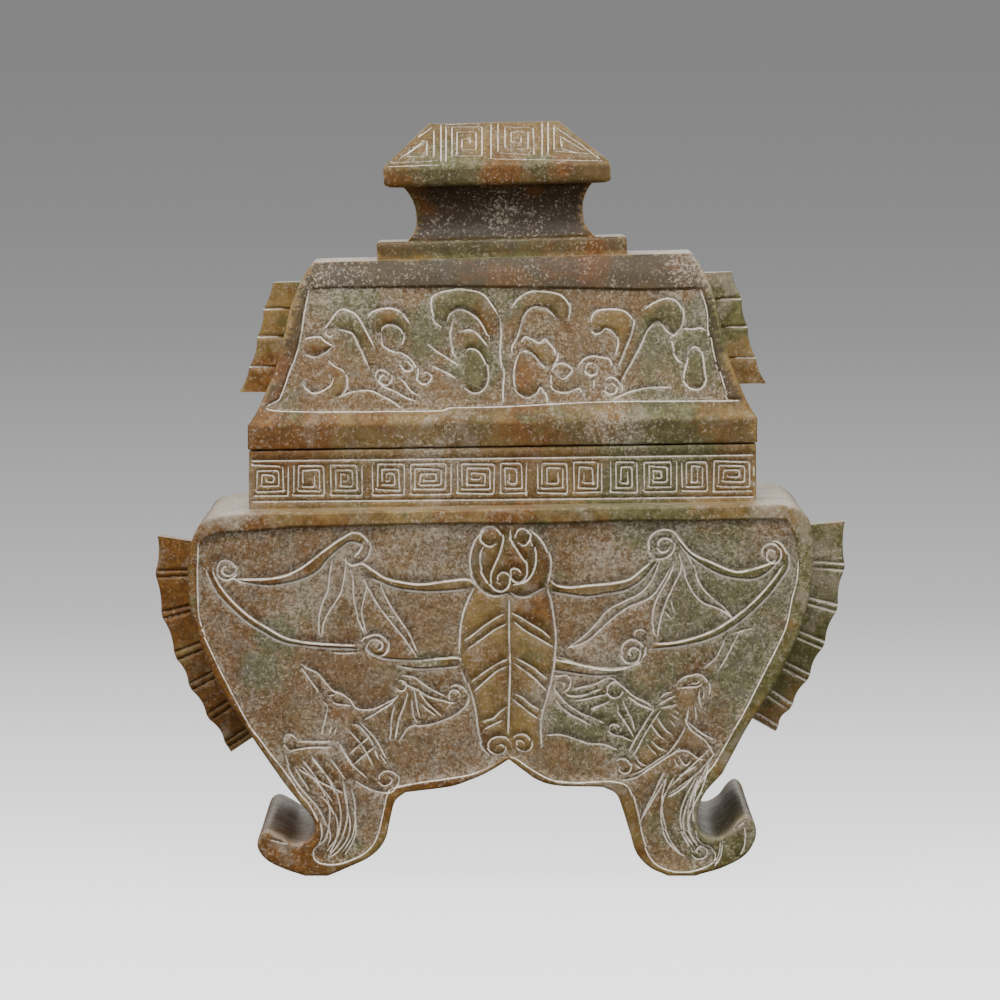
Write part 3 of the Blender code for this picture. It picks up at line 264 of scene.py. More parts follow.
CHEVRONS = {
    "first left": (506, 614, 495, 620, 483, 628, 473, 636, 464, 642),
    "first left low": (507, 625, 495, 631, 484, 639, 474, 646, 466, 652),
    "first right": (512, 614, 522, 619, 533, 626, 543, 632, 552, 640),
    "first right low": (513, 621, 522, 629, 531, 635, 540, 640, 550, 646, 555, 649),
    "second left": (510, 660, 500, 664, 490, 670, 480, 677, 471, 684),
    "second left low": (509, 668, 500, 671, 492, 677, 482, 686, 473, 694),
    "second right": (515, 659, 525, 664, 535, 670, 542, 676, 549, 681),
    "second right low": (515, 665, 525, 672, 535, 680, 543, 688, 549, 694),
    "third left": (507, 709, 500, 714, 494, 720, 485, 723, 480, 725),
    "third left low": (504, 722, 493, 727, 482, 733),
    "third right": (516, 696, 524, 700, 532, 707, 543, 713),
    "third right low": (513, 701, 522, 708, 532, 716, 541, 722),
    "foot curl left": (511, 745, 507, 740, 498, 739, 491, 742, 488, 748, 491, 754, 497, 757, 503, 756,
                       506, 751, 502, 747, 497, 749),
    "foot curl right": (512, 741, 518, 737, 526, 737, 532, 744, 531, 751, 525, 754, 518, 751, 517, 744,
                        522, 743, 526, 747),
}
LEFT_BEAST = {
    "brow": (401, 677, 408, 678, 416, 680, 425, 687, 435, 693, 447, 699),
    "brow under": (400, 684, 418, 692, 430, 699, 445, 703, 452, 705, 458, 704),
    "curl": (449, 690, 455, 687, 463, 689, 468, 696, 468, 704, 463, 711, 455, 717, 445, 722, 430, 727,
             418, 728, 413, 726),
    "curl inside": (458, 700, 460, 696, 456, 692, 450, 694, 449, 700, 453, 703),
    "eye": (397, 684, 401, 682, 405, 685, 405, 690, 402, 693, 397, 691, 396, 686),
    "neck line": (407, 693, 406, 700, 402, 712, 398, 722, 396, 735, 395, 743),
    "wing one": (413, 690, 415, 700, 417, 712, 420, 722),
    "wing two": (411, 700, 412, 712, 416, 722, 419, 727),
    "wing three": (418, 690, 425, 702, 435, 712, 444, 720),
    "wing four": (420, 705, 428, 712, 438, 719),
    "crest": (300, 665, 307, 670, 317, 675, 325, 684, 332, 692, 337, 694, 343, 697, 350, 702, 356, 710,
              364, 712, 373, 711, 382, 707, 392, 702, 398, 698),
    "crest under": (398, 697, 390, 706, 382, 711, 373, 717, 362, 723),
    "crest tip": (301, 669, 307, 678, 315, 689, 320, 697),
    "knot": (326, 698, 333, 697, 336, 695),
    "knot under": (330, 702, 336, 706, 345, 707, 353, 708),
    "fall one": (321, 702, 326, 708, 325, 718, 322, 730, 320, 740),
    "fall two": (331, 726, 328, 738),
    "fall three": (336, 728, 333, 738),
    "hook": (296, 742, 292, 738, 286, 737, 283, 742, 284, 748, 289, 753, 296, 752, 310, 750, 333, 750),
    "hook bar": (297, 744, 310, 744, 325, 744, 333, 743),
    "plume one": (282, 750, 285, 762, 290, 775, 298, 788, 308, 800, 318, 812, 325, 826, 329, 840,
                  326, 850),
    "plume two": (293, 768, 300, 780, 310, 795),
    "plume three": (320, 798, 330, 810, 336, 825, 336, 838, 332, 850, 328, 858),
    "plume four": (342, 785, 344, 800, 347, 815, 349, 830, 345, 845, 335, 857, 328, 861),
    "plume five": (352, 812, 355, 830, 352, 845, 343, 860),
    "leg curl": (354, 783, 365, 790, 378, 795, 390, 795, 397, 788, 398, 780, 393, 775, 385, 774,
                 379, 778, 379, 785, 384, 789, 390, 786, 391, 781, 387, 779),
    "rib one": (336, 742, 343, 752, 350, 764, 355, 775),
    "rib two": (350, 727, 358, 728, 366, 736, 372, 745, 376, 755, 380, 765),
    "rib three": (380, 757, 386, 766, 388, 772),
    "breast one": (395, 705, 391, 720, 390, 735, 389, 744),
    "breast two": (402, 712, 397, 728, 394, 742),
    "plume six": (300, 768, 312, 780, 325, 795, 333, 806),
    "plume seven": (312, 762, 326, 778, 336, 792),
    "plume eight": (330, 760, 338, 772, 345, 782),
}
RIGHT_BEAST = {
    "curl": (553, 677, 560, 678, 568, 677, 571, 683, 569, 691, 563, 694),
    "curl inside": (560, 684, 565, 686, 563, 690),
    "curl outside": (556, 683, 555, 690, 560, 697, 567, 705, 575, 711, 585, 717, 592, 719, 600, 723,
                     607, 726),
    "curl outside two": (556, 700, 562, 709, 572, 717, 582, 722, 592, 728),
    "brow": (573, 692, 583, 689, 592, 687, 600, 684, 608, 680, 615, 681, 621, 686, 627, 691, 635, 698,
             645, 703, 655, 709),
    "eye": (624, 692, 621, 698, 615, 700, 609, 696, 608, 690, 612, 685, 618, 684, 623, 688),
    "bar one": (565, 694, 572, 698, 585, 697, 595, 693, 603, 691),
    "bar two": (575, 703, 588, 701, 600, 698, 608, 697),
    "bar three": (592, 715, 596, 710, 605, 706, 612, 702),
    "bar four": (590, 713, 598, 707),
    "strand one": (617, 704, 620, 715, 627, 725, 633, 735, 636, 741),
    "strand two": (624, 702, 629, 713, 633, 724, 636, 735),
    "strand three": (629, 698, 640, 706, 650, 710, 655, 712),
    "small curl": (635, 744, 630, 742, 623, 739, 617, 738, 611, 735, 610, 730, 613, 727, 618, 727,
                   622, 731, 619, 735),
    "wing one": (655, 712, 648, 722, 642, 732, 636, 742, 632, 750, 629, 757),
    "wing two": (662, 712, 655, 722, 648, 733, 643, 742, 638, 752, 634, 758),
    "bird head": (677, 688, 680, 683, 686, 679, 693, 677, 700, 676, 706, 679, 710, 685, 711, 692, 710, 700),
    "bird jaw": (680, 690, 690, 689, 700, 688, 705, 683),
    "bird leaf": (690, 687, 695, 685, 700, 684, 696, 687),
    "beak one": (674, 694, 666, 696, 660, 702),
    "beak two": (678, 697, 668, 702, 658, 708),
    "beak three": (679, 706, 668, 709, 660, 710),
    "nape one": (701, 690, 700, 700, 702, 709, 703, 713),
    "nape two": (704, 690, 705, 698, 702, 702),
    "back one": (690, 709, 688, 720, 688, 724, 694, 733, 702, 739, 708, 744, 712, 750, 716, 757),
    "back two": (695, 706, 697, 716, 697, 724),
    "chest one": (658, 718, 662, 725, 668, 733, 675, 738),
    "chest two": (652, 725, 660, 737, 668, 743),
    "chest three": (676, 712, 682, 717),
    "chest four": (674, 717, 681, 722),
    "chest five": (672, 722, 678, 730),
    "thigh one": (687, 728, 681, 740, 674, 750, 668, 757, 660, 762, 650, 769, 640, 775, 632, 778),
    "thigh two": (682, 750, 676, 755, 665, 762, 650, 772, 636, 781, 622, 783),
    "thigh curl": (617, 765, 620, 762, 627, 762, 632, 768, 630, 775, 624, 776, 620, 771, 624, 768),
    "rib one": (638, 759, 641, 765, 650, 770),
    "rib two": (636, 765, 640, 770, 645, 772),
    "rib three": (648, 745, 653, 752, 660, 759),
    "rib four": (652, 742, 660, 750, 668, 754),
    "hip one": (676, 755, 683, 753, 690, 754, 697, 759, 702, 762, 708, 762),
    "hip two": (676, 760, 679, 767, 683, 771),
    "hip three": (700, 768, 692, 772, 684, 777, 678, 780),
    "shin one": (712, 762, 707, 772, 700, 785, 694, 798, 690, 812, 690, 828, 694, 840, 700, 849),
    "shin two": (700, 775, 695, 785, 687, 800, 682, 815, 682, 828, 686, 840, 693, 852),
    "toe curl": (693, 852, 695, 860, 701, 863, 708, 860, 708, 853, 702, 850, 698, 855, 702, 858),
    "shin three": (667, 772, 660, 785, 655, 797, 648, 810, 643, 822, 641, 828),
    "shin four": (676, 778, 670, 790, 664, 803, 662, 820, 665, 835, 672, 848, 683, 858, 690, 861),
    "shin five": (695, 780, 685, 790, 675, 797, 667, 801),
    "toe edge": (748, 823, 738, 832, 729, 835),
    "toe side": (745, 828, 747, 840, 744, 855, 733, 867),
    "toe front": (724, 846, 722, 860, 716, 871),
}
# raised bands, each between two of the lines above
BANDS = (("left arm above", "left arm below"), ("left band above", "left band below"),
         ("left tail", "left tail inner"), ("left low band", "left low band under"),
         ("right arm above", "right arm below"), ("right band above", "right band below"),
         ("right tail", "right tail inner"), ("right low band", "right low band under"))
HEAD_EDGE = (484, 531, 475, 541, 470, 556, 470, 570, 475, 582, 483, 592, 495, 597, 508, 596, 517, 597,
             527, 598, 537, 593, 546, 588, 550, 575, 551, 562, 547, 549, 540, 538, 530, 530, 507, 526)
TRUNK_EDGE = (474, 588, 463, 614, 459, 645, 460, 664, 469, 690, 475, 712, 478, 735, 483, 750, 491, 759,
              507, 757, 512, 750, 520, 756, 532, 756, 542, 751, 541, 735, 542, 718, 552, 680, 556, 640,
              551, 602, 547, 590, 527, 599, 508, 597, 490, 596)
BEAST_EDGES = (
    (397, 682, 404, 676, 425, 686, 447, 698, 456, 687, 468, 694, 468, 705, 455, 717, 430, 728, 413, 727,
     405, 745, 392, 748, 384, 720, 360, 724, 372, 745, 388, 768, 398, 781, 392, 795, 370, 792, 352, 783,
     352, 810, 357, 835, 346, 861, 328, 864, 322, 815, 300, 790, 283, 755, 284, 740, 320, 742, 320, 700,
     301, 668, 326, 682, 352, 703, 364, 712, 385, 705),
    (553, 677, 571, 678, 572, 692, 608, 680, 628, 691, 656, 710, 678, 686, 695, 676, 710, 684, 704, 715,
     697, 734, 716, 757, 712, 764, 694, 800, 690, 828, 707, 851, 712, 868, 690, 868, 660, 850, 645, 822,
     655, 795, 640, 782, 618, 780, 617, 762, 634, 758, 612, 735, 590, 722, 560, 700),
)


def from_photo(pixels, behind=0.0):
    """Pixels to (x, z) on an upright plane `behind` the front plane of the vessel."""
    at = np.reshape(np.asarray(pixels, dtype=float), (-1, 2))
    metre = PIXEL * (1 + behind / EYE_DISTANCE)
    return np.column_stack([(at[:, 0] - MIDDLE_COLUMN) * metre, EYE_HEIGHT - (at[:, 1] - EYE_ROW) * metre])


def lengths_along(line):
    """Length along a polyline to each of its points."""
    return np.concatenate([[0.0], np.cumsum(np.hypot(*np.diff(line, axis=0).T))])


def spaced(line, step):
    """Points about `step` apart along a polyline."""
    reach = lengths_along(line)
    at = np.linspace(0.0, reach[-1], max(2, round(reach[-1] / step) + 1))
    return np.column_stack([np.interp(at, reach, line[:, i]) for i in (0, 1)])


def smooth_line(points, step):
    """Points about `step` apart on the Catmull-Rom curve through `points`."""
    given = np.reshape(np.asarray(points, dtype=float), (-1, 2))
    knots = np.vstack([2 * given[0] - given[1], given, 2 * given[-1] - given[-2]])
    p0, p1, p2, p3 = (knots[i:len(knots) - 3 + i] for i in range(4))
    t = np.linspace(0.0, 1.0, 12, endpoint=False)[:, None, None]
    curve = 0.5 * (2 * p1 + (p2 - p0) * t + (2 * p0 - 5 * p1 + 4 * p2 - p3) * t ** 2
                   + (3 * p1 - p0 - 3 * p2 + p3) * t ** 3)
    return spaced(np.vstack([curve.transpose(1, 0, 2).reshape(-1, 2), given[-1:]]), step)


def ease(share):
    """Smooth step: 0 below zero, 1 above one, 3s^2 - 2s^3 between."""
    s = np.clip(share, 0.0, 1.0)
    return s * s * (3 - 2 * s)


def rough(places, size, seed):
    """Smooth random value, 0 to 1: random numbers on a lattice `size` apart, eased between."""
    period = 61
    table = np.random.default_rng(seed).random((period, period, period))
    at = places / size
    low = np.floor(at).astype(int)
    share = ease(at - low)
    total = np.zeros(len(places))
    for corner in np.ndindex(2, 2, 2):
        weight = np.prod(np.where(corner, share, 1 - share), axis=1)
        total += weight * table[tuple(((low + corner) % period).T)]
    return total


def uneven(places, coarse, fine, seed):
    """Random value, 0 to 1, of two sizes: 0.6 of the coarse one and 0.4 of the fine one."""
    return 0.6 * rough(places, coarse, seed) + 0.4 * rough(places, fine, seed + 1)


def cells(points, size):
    """One whole number for the square cell of side `size` that holds each point."""
    at = np.floor(points / size).astype(np.int64) + 100000
    return at[:, 0] * 1000000 + at[:, 1]


def near(points, line, reach):
    """Whether each point is within about `reach` of the row of points `line`."""
    found = np.zeros(len(points), dtype=bool)
    around = [cells(line + np.array(shift) * reach, reach) for shift in np.ndindex(3, 3)]
    around = np.unique(np.concatenate(around))
    found[np.isin(cells(points + reach, reach), around)] = True
    return found


def in_parts(points):
    """The points in parts of at most 4000, which a table of all distances has room for."""
    return np.array_split(points, len(points) // 4000 + 1)


def nearest(points, line):
    """Distance of each point from the polyline `line`, the length along it to that place, and
    whether the point lies below and right of it (1) or above and left of it (-1)."""
    start, run = line[:-1], np.diff(line, axis=0)
    length = np.hypot(run[:, 0], run[:, 1])
    reach = lengths_along(line)
    found = []
    for part in in_parts(points):
        away = part[:, None, :] - start
        share = np.clip((away * run).sum(2) / np.maximum(length ** 2, 1e-14), 0.0, 1.0)
        off = away - share[..., None] * run
        gap = np.hypot(off[..., 0], off[..., 1])
        best = gap.argmin(1)
        pick = (np.arange(len(part)), best)
        found.append((gap[pick], reach[best] + share[pick] * length[best], np.sign(off[pick] @ LIT_WALL_SIDE)))
    return [np.concatenate(values) for values in zip(*found)]


def inside(points, loop):
    """Whether each point lies in the closed row `loop`, by the crossings to its right."""
    after = np.roll(loop, -1, axis=0)
    rise = after[:, 1] - loop[:, 1]
    slope = (after[:, 0] - loop[:, 0]) / np.where(rise == 0, 1e-12, rise)
    found = []
    for part in in_parts(points):
        x, z = part[:, :1], part[:, 1:]
        crossed = (loop[:, 1] > z) != (after[:, 1] > z)
        found.append((crossed & (x < loop[:, 0] + (z - loop[:, 1]) * slope)).sum(1) % 2 == 1)
    return np.concatenate(found)


def depth_within(points, loop, soft):
    """Share of the way, eased, from the closed row `loop` to `soft` inside it."""
    shares = np.zeros(len(points))
    low, high = loop.min(0), loop.max(0)
    at = np.flatnonzero(np.all((points > low) & (points < high), axis=1))
    at = at[inside(points[at], loop)]
    shares[at] = 1.0
    closed = np.vstack([loop, loop[:1]])
    at = at[near(points[at], spaced(closed, soft), soft)]
    shares[at] = ease(nearest(points[at], closed)[0] / soft)
    return shares


def cut_lines(points, strokes):
    """Depth of the cut lines, how much chalk they hold and how near they are, at each point.

    A line is a groove: full depth over the middle third of its width, eased up to its edges.
    """
    depth, chalk, halo = np.zeros((3, len(points)))
    for line, half, deep, white in strokes:
        at = np.flatnonzero(near(points, line, HALO + half))
        if not len(at):
            continue
        gap, along, side = nearest(points[at], line)
        total = np.hypot(*np.diff(line, axis=0).T).sum()
        end = np.minimum(along, total - along)
        taper = TAPER[0] + (1 - TAPER[0]) * ease(end / (TAPER[1] * half))
        share = ease(1.5 * (1 - gap / (half * taper)))
        depth[at] = np.maximum(depth[at], deep * taper * share)
        # chalk only on the wall that faces up to the light: the white is partly a painted highlight
        off = np.abs(gap * side / (half * taper) - CHALK_AT) / (1 - CHALK_AT)
        chalk[at] = np.maximum(chalk[at], white * np.clip(1 - off, 0, 1))
        # nearness to the line, by which dirt and painted shade darken the stone in and beside the groove
        halo[at] = np.maximum(halo[at], 1 - np.clip((gap - half) / HALO, 0, 1))
    return depth, chalk, halo


def stroke_rows(strokes, shares=DRAWN_ROWS):
    """Rows of points along every line, at these shares of its half width."""
    rows = []
    for line, half, _, _ in strokes:
        ahead = np.gradient(line, axis=0)
        ahead /= np.maximum(np.hypot(ahead[:, 0], ahead[:, 1]), 1e-12)[:, None]
        across = np.column_stack([-ahead[:, 1], ahead[:, 0]])
        rows += [line + across * half * share for share in shares]
    return np.vstack(rows)


def fill(ring, wanted, spacing, grain, seed=1):
    """Triangles within the closed row `ring`: close-set at the points `wanted`, open elsewhere.

    No two wanted points share a cell of side `grain`, and the open ones are `spacing` apart.
    Gives the points, the triangles and 0 for the points of the ring, 1 for those inside.
    """
    _, first = np.unique(cells(wanted, grain), return_index=True)
    wanted = wanted[np.sort(first)]
    low, high = ring.min(0), ring.max(0)
    across, up = np.meshgrid(np.arange(low[0], high[0], spacing), np.arange(low[1], high[1], spacing))
    ground = np.column_stack([across.ravel(), up.ravel()])
    ground += np.random.default_rng(seed).uniform(-0.3, 0.3, ground.shape) * spacing
    ground = ground[~near(ground, wanted, spacing * 0.55)]
    points = np.vstack([wanted, ground])
    points = points[inside(points, ring)]
    closed = np.vstack([ring, ring[:1]])
    border = spaced(closed, grain * 4)
    edge = near(points, border, grain * 4)
    gap = np.ones(len(points))
    if edge.any():
        gap[edge] = nearest(points[edge], closed)[0]
    points = np.vstack([ring, points[gap > grain * 1.6]])
    edges = [(i, (i + 1) % len(ring)) for i in range(len(ring))]
    found = delaunay_2d_cdt(points.tolist(), edges, [], 1, 1e-9)
    points = np.array([tuple(p) for p in found[0]])
    free = np.ones(len(points))
    edge = near(points, border, grain * 4)
    free[edge] = nearest(points[edge], closed)[0] > 1e-6
    return points, np.array([tuple(t) for t in found[2]]), free


def grid_faces(rows, columns, closed=True):
    """Quads of a grid of points, row after row, closed round its columns or open."""
    i, j = np.meshgrid(np.arange(rows - 1), np.arange(columns if closed else columns - 1), indexing="ij")
    after = (j + 1) % columns
    quads = [i * columns + j, i * columns + after, (i + 1) * columns + after, (i + 1) * columns + j]
    return np.stack(quads, axis=-1).reshape(-1, 4)


def read(rows, key, width):
    """Values of `key` of a mesh's vertices, faces or attribute, a row of `width` for each."""
    values = np.empty(len(rows) * width, dtype=np.float32)
    rows.foreach_get(key, values)
    return values.reshape(-1, width)


def write(rows, key, values):
    """Set `key` of a mesh's vertices, faces or attribute to rows of values."""
    rows.foreach_set(key, np.asarray(values).astype(np.float32).ravel())


def new_attribute(data, name, domain, values):
    """Give a mesh an attribute: one number, or one colour of four, for each place in `domain`."""
    coloured = np.ndim(values) == 2
    made = data.attributes.new(name, "FLOAT_COLOR" if coloured else "FLOAT", domain)
    write(made.data, "color" if coloured else "value", values)


def new_object(name, data):
    """An object in the scene that shows `data`."""
    made = bpy.data.objects.new(name, data)
    bpy.context.collection.objects.link(made)
    return made


def stone(name, parts):
    """One welded closed mesh object. A part is its places, its faces and its carving marks."""
    places, faces, marks, count = [], [], [], 0
    for place, face, mark in parts:
        places.append(place)
        faces += (np.asarray(face) + count).tolist()
        marks.append(np.broadcast_to(mark, (len(place), 4)))
        count += len(place)
    data = bpy.data.meshes.new(name)
    data.from_pydata(np.vstack(places).tolist(), [], faces)
    new_attribute(data, "carving", "POINT", np.vstack(marks))
    mesh = bmesh.new()
    mesh.from_mesh(data)
    bmesh.ops.remove_doubles(mesh, verts=mesh.verts, dist=3e-6)
    bmesh.ops.triangulate(mesh, faces=mesh.faces)
    bmesh.ops.recalc_face_normals(mesh, faces=mesh.faces)
    mesh.to_mesh(data)
    mesh.free()
    return new_object(name, data)


def carved_from(name, block, added, taken):
    """`block` joined with the objects `added` and hollowed by `taken`, as one new object."""
    for other, way in [(a, "UNION") for a in added] + [(t, "DIFFERENCE") for t in taken]:
        step = block.modifiers.new(other.name, "BOOLEAN")
        step.operation = way
        step.solver = "MANIFOLD"
        step.object = other
    seen = block.evaluated_get(bpy.context.evaluated_depsgraph_get())
    data = bpy.data.meshes.new_from_object(seen)
    data.name = name
    carving = data.attributes["carving"].data
    marks = read(carving, "color", 4)
    marks[marks.min(1) > 0.99] = JOINT      # the joining leaves all four at 1 on its new points
    write(carving, "color", marks)
    for old in [block, *added, *taken]:
        bpy.data.objects.remove(old, do_unlink=True)
    return new_object(name, data)


WEAR = 0.0003               # how deep handling has worn the stone
WEAR_SIZES = (0.011, 0.0034)
STAINED_TO = 0.02           # the stains of the drawing reach from the front to this far back


def weather(thing, seed, still=None):
    """Wear a stone by up to WEAR, inwards along its normals, and shade it smooth.

    `still` says of the places which keep their height. The stone also gets how far each place
    faces up, for the dust, and its stains: exp(-(distance / reach) squared) around each of them.
    """
    data = thing.data
    places = read(data.vertices, "co", 3).astype(float)
    normals = read(data.vertex_normals, "vector", 3)
    amount = uneven(places, *WEAR_SIZES, seed)
    if still is not None:
        amount *= 1 - still(places)
    new_attribute(data, "upward", "FACE", np.clip(read(data.polygons, "normal", 3)[:, 2], 0.0, 1.0))
    stains = np.zeros((len(places), 4))
    for kind, row in enumerate(STAINS):
        for x, z, reach in np.reshape(row, (-1, 3)):
            middle = from_photo((x, z))[0]
            off = np.hypot(places[:, 0] - middle[0], places[:, 2] - middle[1]) / (reach * PIXEL)
            here = np.exp(-off ** 2) * (places[:, 1] < STAINED_TO)
            stains[:, kind] = np.maximum(stains[:, kind], here)
    stains[:, 3] = stains[:, 0]     # a colour has a fourth value, which isn't used here
    new_attribute(data, "stains", "POINT", stains)
    write(data.vertices, "co", places - normals * (WEAR * amount)[:, None])
    data.shade_smooth()
    data.set_sharp_from_angle(angle=math.radians(62))
    data.update()


def body_outline(step):
    """The face's outline, anticlockwise from the cusp of the arch, as one closed row."""
    rows = []
    for side in ("right", "left"):
        lines = [smooth_line(np.array(part[side]) * 0.001, step)[::-1] for part in (ARCH, LEG, TOE, FLANK)]
        if side == "left":
            lines = [line[::-1] for line in lines[::-1]]
            rows.append(spaced(np.vstack([rows[-1][-1], lines[0][0]]), step))
        rows += lines
    line = np.vstack(rows)
    gaps = np.hypot(*(line - np.roll(line, 1, axis=0)).T)
    return line[gaps > 1e-6]


def inset(loop, amount):
    """A closed anticlockwise row moved inwards by `amount`."""
    ahead = np.roll(loop, -1, axis=0) - np.roll(loop, 1, axis=0)
    ahead /= np.hypot(*ahead.T)[:, None]
    return loop + np.column_stack([-ahead[:, 1], ahead[:, 0]]) * np.reshape(amount, (-1, 1))


def photo_strokes(drawn, kind, step=DRAWN_STEP):
    """Lines drawn in pixels as strokes on the front plane, with the sizes of `kind`."""
    return [(smooth_line(from_photo(line), step), *kind) for line in drawn.values()]


body_front = photo_strokes({**WINGS, **HEAD, **TRUNK}, BOLD)
for drawn in ({**FEATHERS, **CHEVRONS}, LEFT_BEAST, RIGHT_BEAST, MARKS):
    body_front += photo_strokes(drawn, FINE)
body_front += photo_strokes(SCRATCHES, DRY)
ground_edge = smooth_line(from_photo(GROUND_EDGE + GROUND_EDGE[:2]), PLAIN_STEP)
# beside the dry line along the top of the sunk ground, the dark is painted shadow under the proud border
ground_lines = [(smooth_line(from_photo(GROUND_EDGE[:TOP_EDGE]), PLAIN_STEP), *DRY),
                (smooth_line(from_photo(GROUND_EDGE[TOP_EDGE - 2:] + GROUND_EDGE[:2]), FRET_STEP), *FINE)]
band_edges = [np.vstack([smooth_line(from_photo(WINGS[above]), SHAPE_STEP),
                         smooth_line(from_photo(WINGS[below]), SHAPE_STEP)[::-1]])
              for above, below in BANDS]
head_edge, trunk_edge, *beast_edges = [smooth_line(from_photo(line), SHAPE_STEP)
                                       for line in (HEAD_EDGE, TRUNK_EDGE, *BEAST_EDGES)]
# raised shapes: edge, width of its slope, height
raised = [(loop, 0.0007, BAND_LIFT) for loop in band_edges]
raised += [(head_edge, 0.0012, BAND_LIFT * 1.1), (trunk_edge, 0.0012, BAND_LIFT * 0.9)]
raised_beasts = [(loop, 0.0030, BAND_LIFT * 0.5) for loop in beast_edges]


def sunk_relief(points, edge, shapes, sunk, strokes, seed):
    """Depth of a carved panel at each point, and its marks: chalk, bare ground, dirt and painted shade by the
    lines.

    depth = ground * (sunk - lift) + bare ground's roughness + cut lines, where the ground is 1
    inside `edge`, and the lift is that of the highest of the raised `shapes` there.
    """
    ground = depth_within(points, edge[:-1], PANEL_EDGE)
    lifted = np.zeros(len(points))
    for loop, soft, height in shapes:
        lifted = np.maximum(lifted, height * depth_within(points, loop, soft))
    cut, chalk, halo = cut_lines(points, strokes)
    flat = np.column_stack([points, np.zeros(len(points))])
    bare = ground * (1 - np.clip(lifted / BAND_LIFT, 0, 1))
    depth = ground * (sunk - lifted) + bare * (uneven(flat, *GRAIN[:2], seed) - 0.5) * GRAIN[2] + cut
    return depth, ground, np.column_stack([chalk, bare, halo])


def body_face(ring, y, wanted, mesh, strokes, shapes, seeds):
    """The carved face in the plane `y`, cut towards the middle: places, triangles and marks."""
    points, faces, free = fill(ring, wanted, *mesh, seeds[0])
    depth, _, marks = sunk_relief(points, ground_edge, shapes, PANEL_SUNK, strokes, seeds[1])
    dark_head = depth_within(points, head_edge, 0.0008) * 0.3
    places = np.column_stack([points[:, 0], y - math.copysign(1.0, y) * depth * free, points[:, 1]])
    return places, faces, np.column_stack([marks, dark_head])


# rows of points on the flank, from the middle plane; between its chalked lines it is sunk
FLANK_ROWS = (0.0590, 0.0575, 0.0568, 0.0560, 0.0552, 0.0545, 0.046, 0.036, 0.026, 0.016, 0.0098, 0.0075)
FLANK_LINE = (0.0560, 0.0009, 0.0006)   # place, width and depth of the line along each edge
FLANK_SUNK = (0.0085, 0.0552, 0.0008)   # the sunk part's start beside the flange, its end, its depth
FLANK_SLOPE = 0.0015
FLANK_FOOT, FLANK_TOP = 0.032, 0.139    # lines and sunk part run between these heights
FLANK_FADE = 0.003
FLANK_FROM = 0.075                      # no point of the outline nearer to the middle is on a flank
# spacing of the faces' open ground, and of the points along their lines
FRONT_MESH = (0.0019, 0.00027)
BACK_MESH = (0.0035, 0.0005)


def body_block():
    """The slab: carved front and back, and flanks as a grid of (place on the outline, depth)."""
    ring = body_outline(OUTLINE_STEP)
    face = inset(ring, WORN)
    edge = stroke_rows(ground_lines, EDGE_ROWS)
    back = photo_strokes({**WINGS, **TRUNK}, BACK, PLAIN_STEP)
    parts = [body_face(face, -HALF_DEPTH, np.vstack([stroke_rows(body_front), edge]), FRONT_MESH,
                       body_front + ground_lines, raised + raised_beasts, (1, 11)),
             body_face(face, HALF_DEPTH, np.vstack([stroke_rows(back, PLAIN_ROWS), edge]), BACK_MESH,
                       back + ground_lines, raised, (2, 21))]
    turn = np.linspace(0.0, math.pi / 2, 4)
    rows = [(HALF_DEPTH - WORN * (1 - math.cos(a)), WORN * (1 - math.sin(a))) for a in turn]
    rows += [(y, 0.0) for y in FLANK_ROWS]
    rows += [(-y, into) for y, into in rows[::-1]]
    upper = ease((ring[:, 1] - FLANK_FOOT) / FLANK_FADE) * ease((FLANK_TOP - ring[:, 1]) / FLANK_FADE)
    upper *= np.abs(ring[:, 0]) > FLANK_FROM
    places, marks = [], []
    for y, into in rows:
        line = math.exp(-((abs(y) - FLANK_LINE[0]) / FLANK_LINE[1]) ** 2)
        sunk = float(ease((FLANK_SUNK[1] - abs(y)) / FLANK_SLOPE)
                     * ease((abs(y) - FLANK_SUNK[0]) / FLANK_SLOPE))
        loop = inset(ring, into + upper * (FLANK_LINE[2] * line + FLANK_SUNK[2] * sunk))
        places.append(np.column_stack([loop[:, 0], np.full(len(loop), y), loop[:, 1]]))
        marks.append(np.column_stack([upper * line * 0.6, upper * sunk, upper * sunk * 0.3, upper * 0]))
    parts.append((np.vstack(places), grid_faces(len(rows), len(ring)), np.vstack(marks)))
    return stone("block", parts)


def lift_to(x, height):
    """Rise of the hand-cut neck and lid at `x` and this height of the straight-built one."""
    share = np.clip((height - NECK[2]) / LID_HEIGHT, 0.0, 1.0)
    return (SHOULDER_RISE + LID_RISE * share) * x


def bend_top(places):
    """Straight-built places of the neck or the lid moved to where the hand-cut one stands."""
    moved = places.copy()
    moved[:, 2] += lift_to(places[:, 0], places[:, 2])
    moved[:, 0] += NECK_OFFSET
    return moved


def profile_length(levels):
    """Length up the profile to each level of (height, half width, half depth)."""
    return lengths_along(levels[:, [0, 2]])


def on_wall(pixels, levels, lean=0.0, lean_from=1.0, lean_over=1.0):
    """Pixels to places (along, up the profile) on the front wall of a solid of `levels`.

    A pixel's place depends on how far back the wall stands at its height, and the height on the
    place, so both are found in turns.
    """
    up = profile_length(levels)
    behind = np.full(len(np.reshape(pixels, (-1, 2))), 0.028)
    for _ in range(5):
        places = from_photo(pixels, behind)
        x = places[:, 0] - NECK_OFFSET
        height = places[:, 1]
        for _ in range(3):
            height = places[:, 1] - lift_to(x, height)
        x = x - lean * np.clip((height - lean_from) / lean_over, 0.0, 1.0)
        behind = HALF_DEPTH - np.interp(height, levels[:, 0], levels[:, 2])
    return np.column_stack([x, np.interp(height, levels[:, 0], up)])


# the four walls of a solid: the axis and sign that each faces (1 is y, 0 is x), and the signs of
# the upright corner after it
WALLS = ((1, -1, (1, -1)), (0, 1, (1, 1)), (1, 1, (-1, 1)), (0, -1, (-1, -1)))
WALL_GRAIN = 0.00028        # spacing of the points along a wall's lines
LINE_ROOM = 0.0006          # a level has no points this near to a line


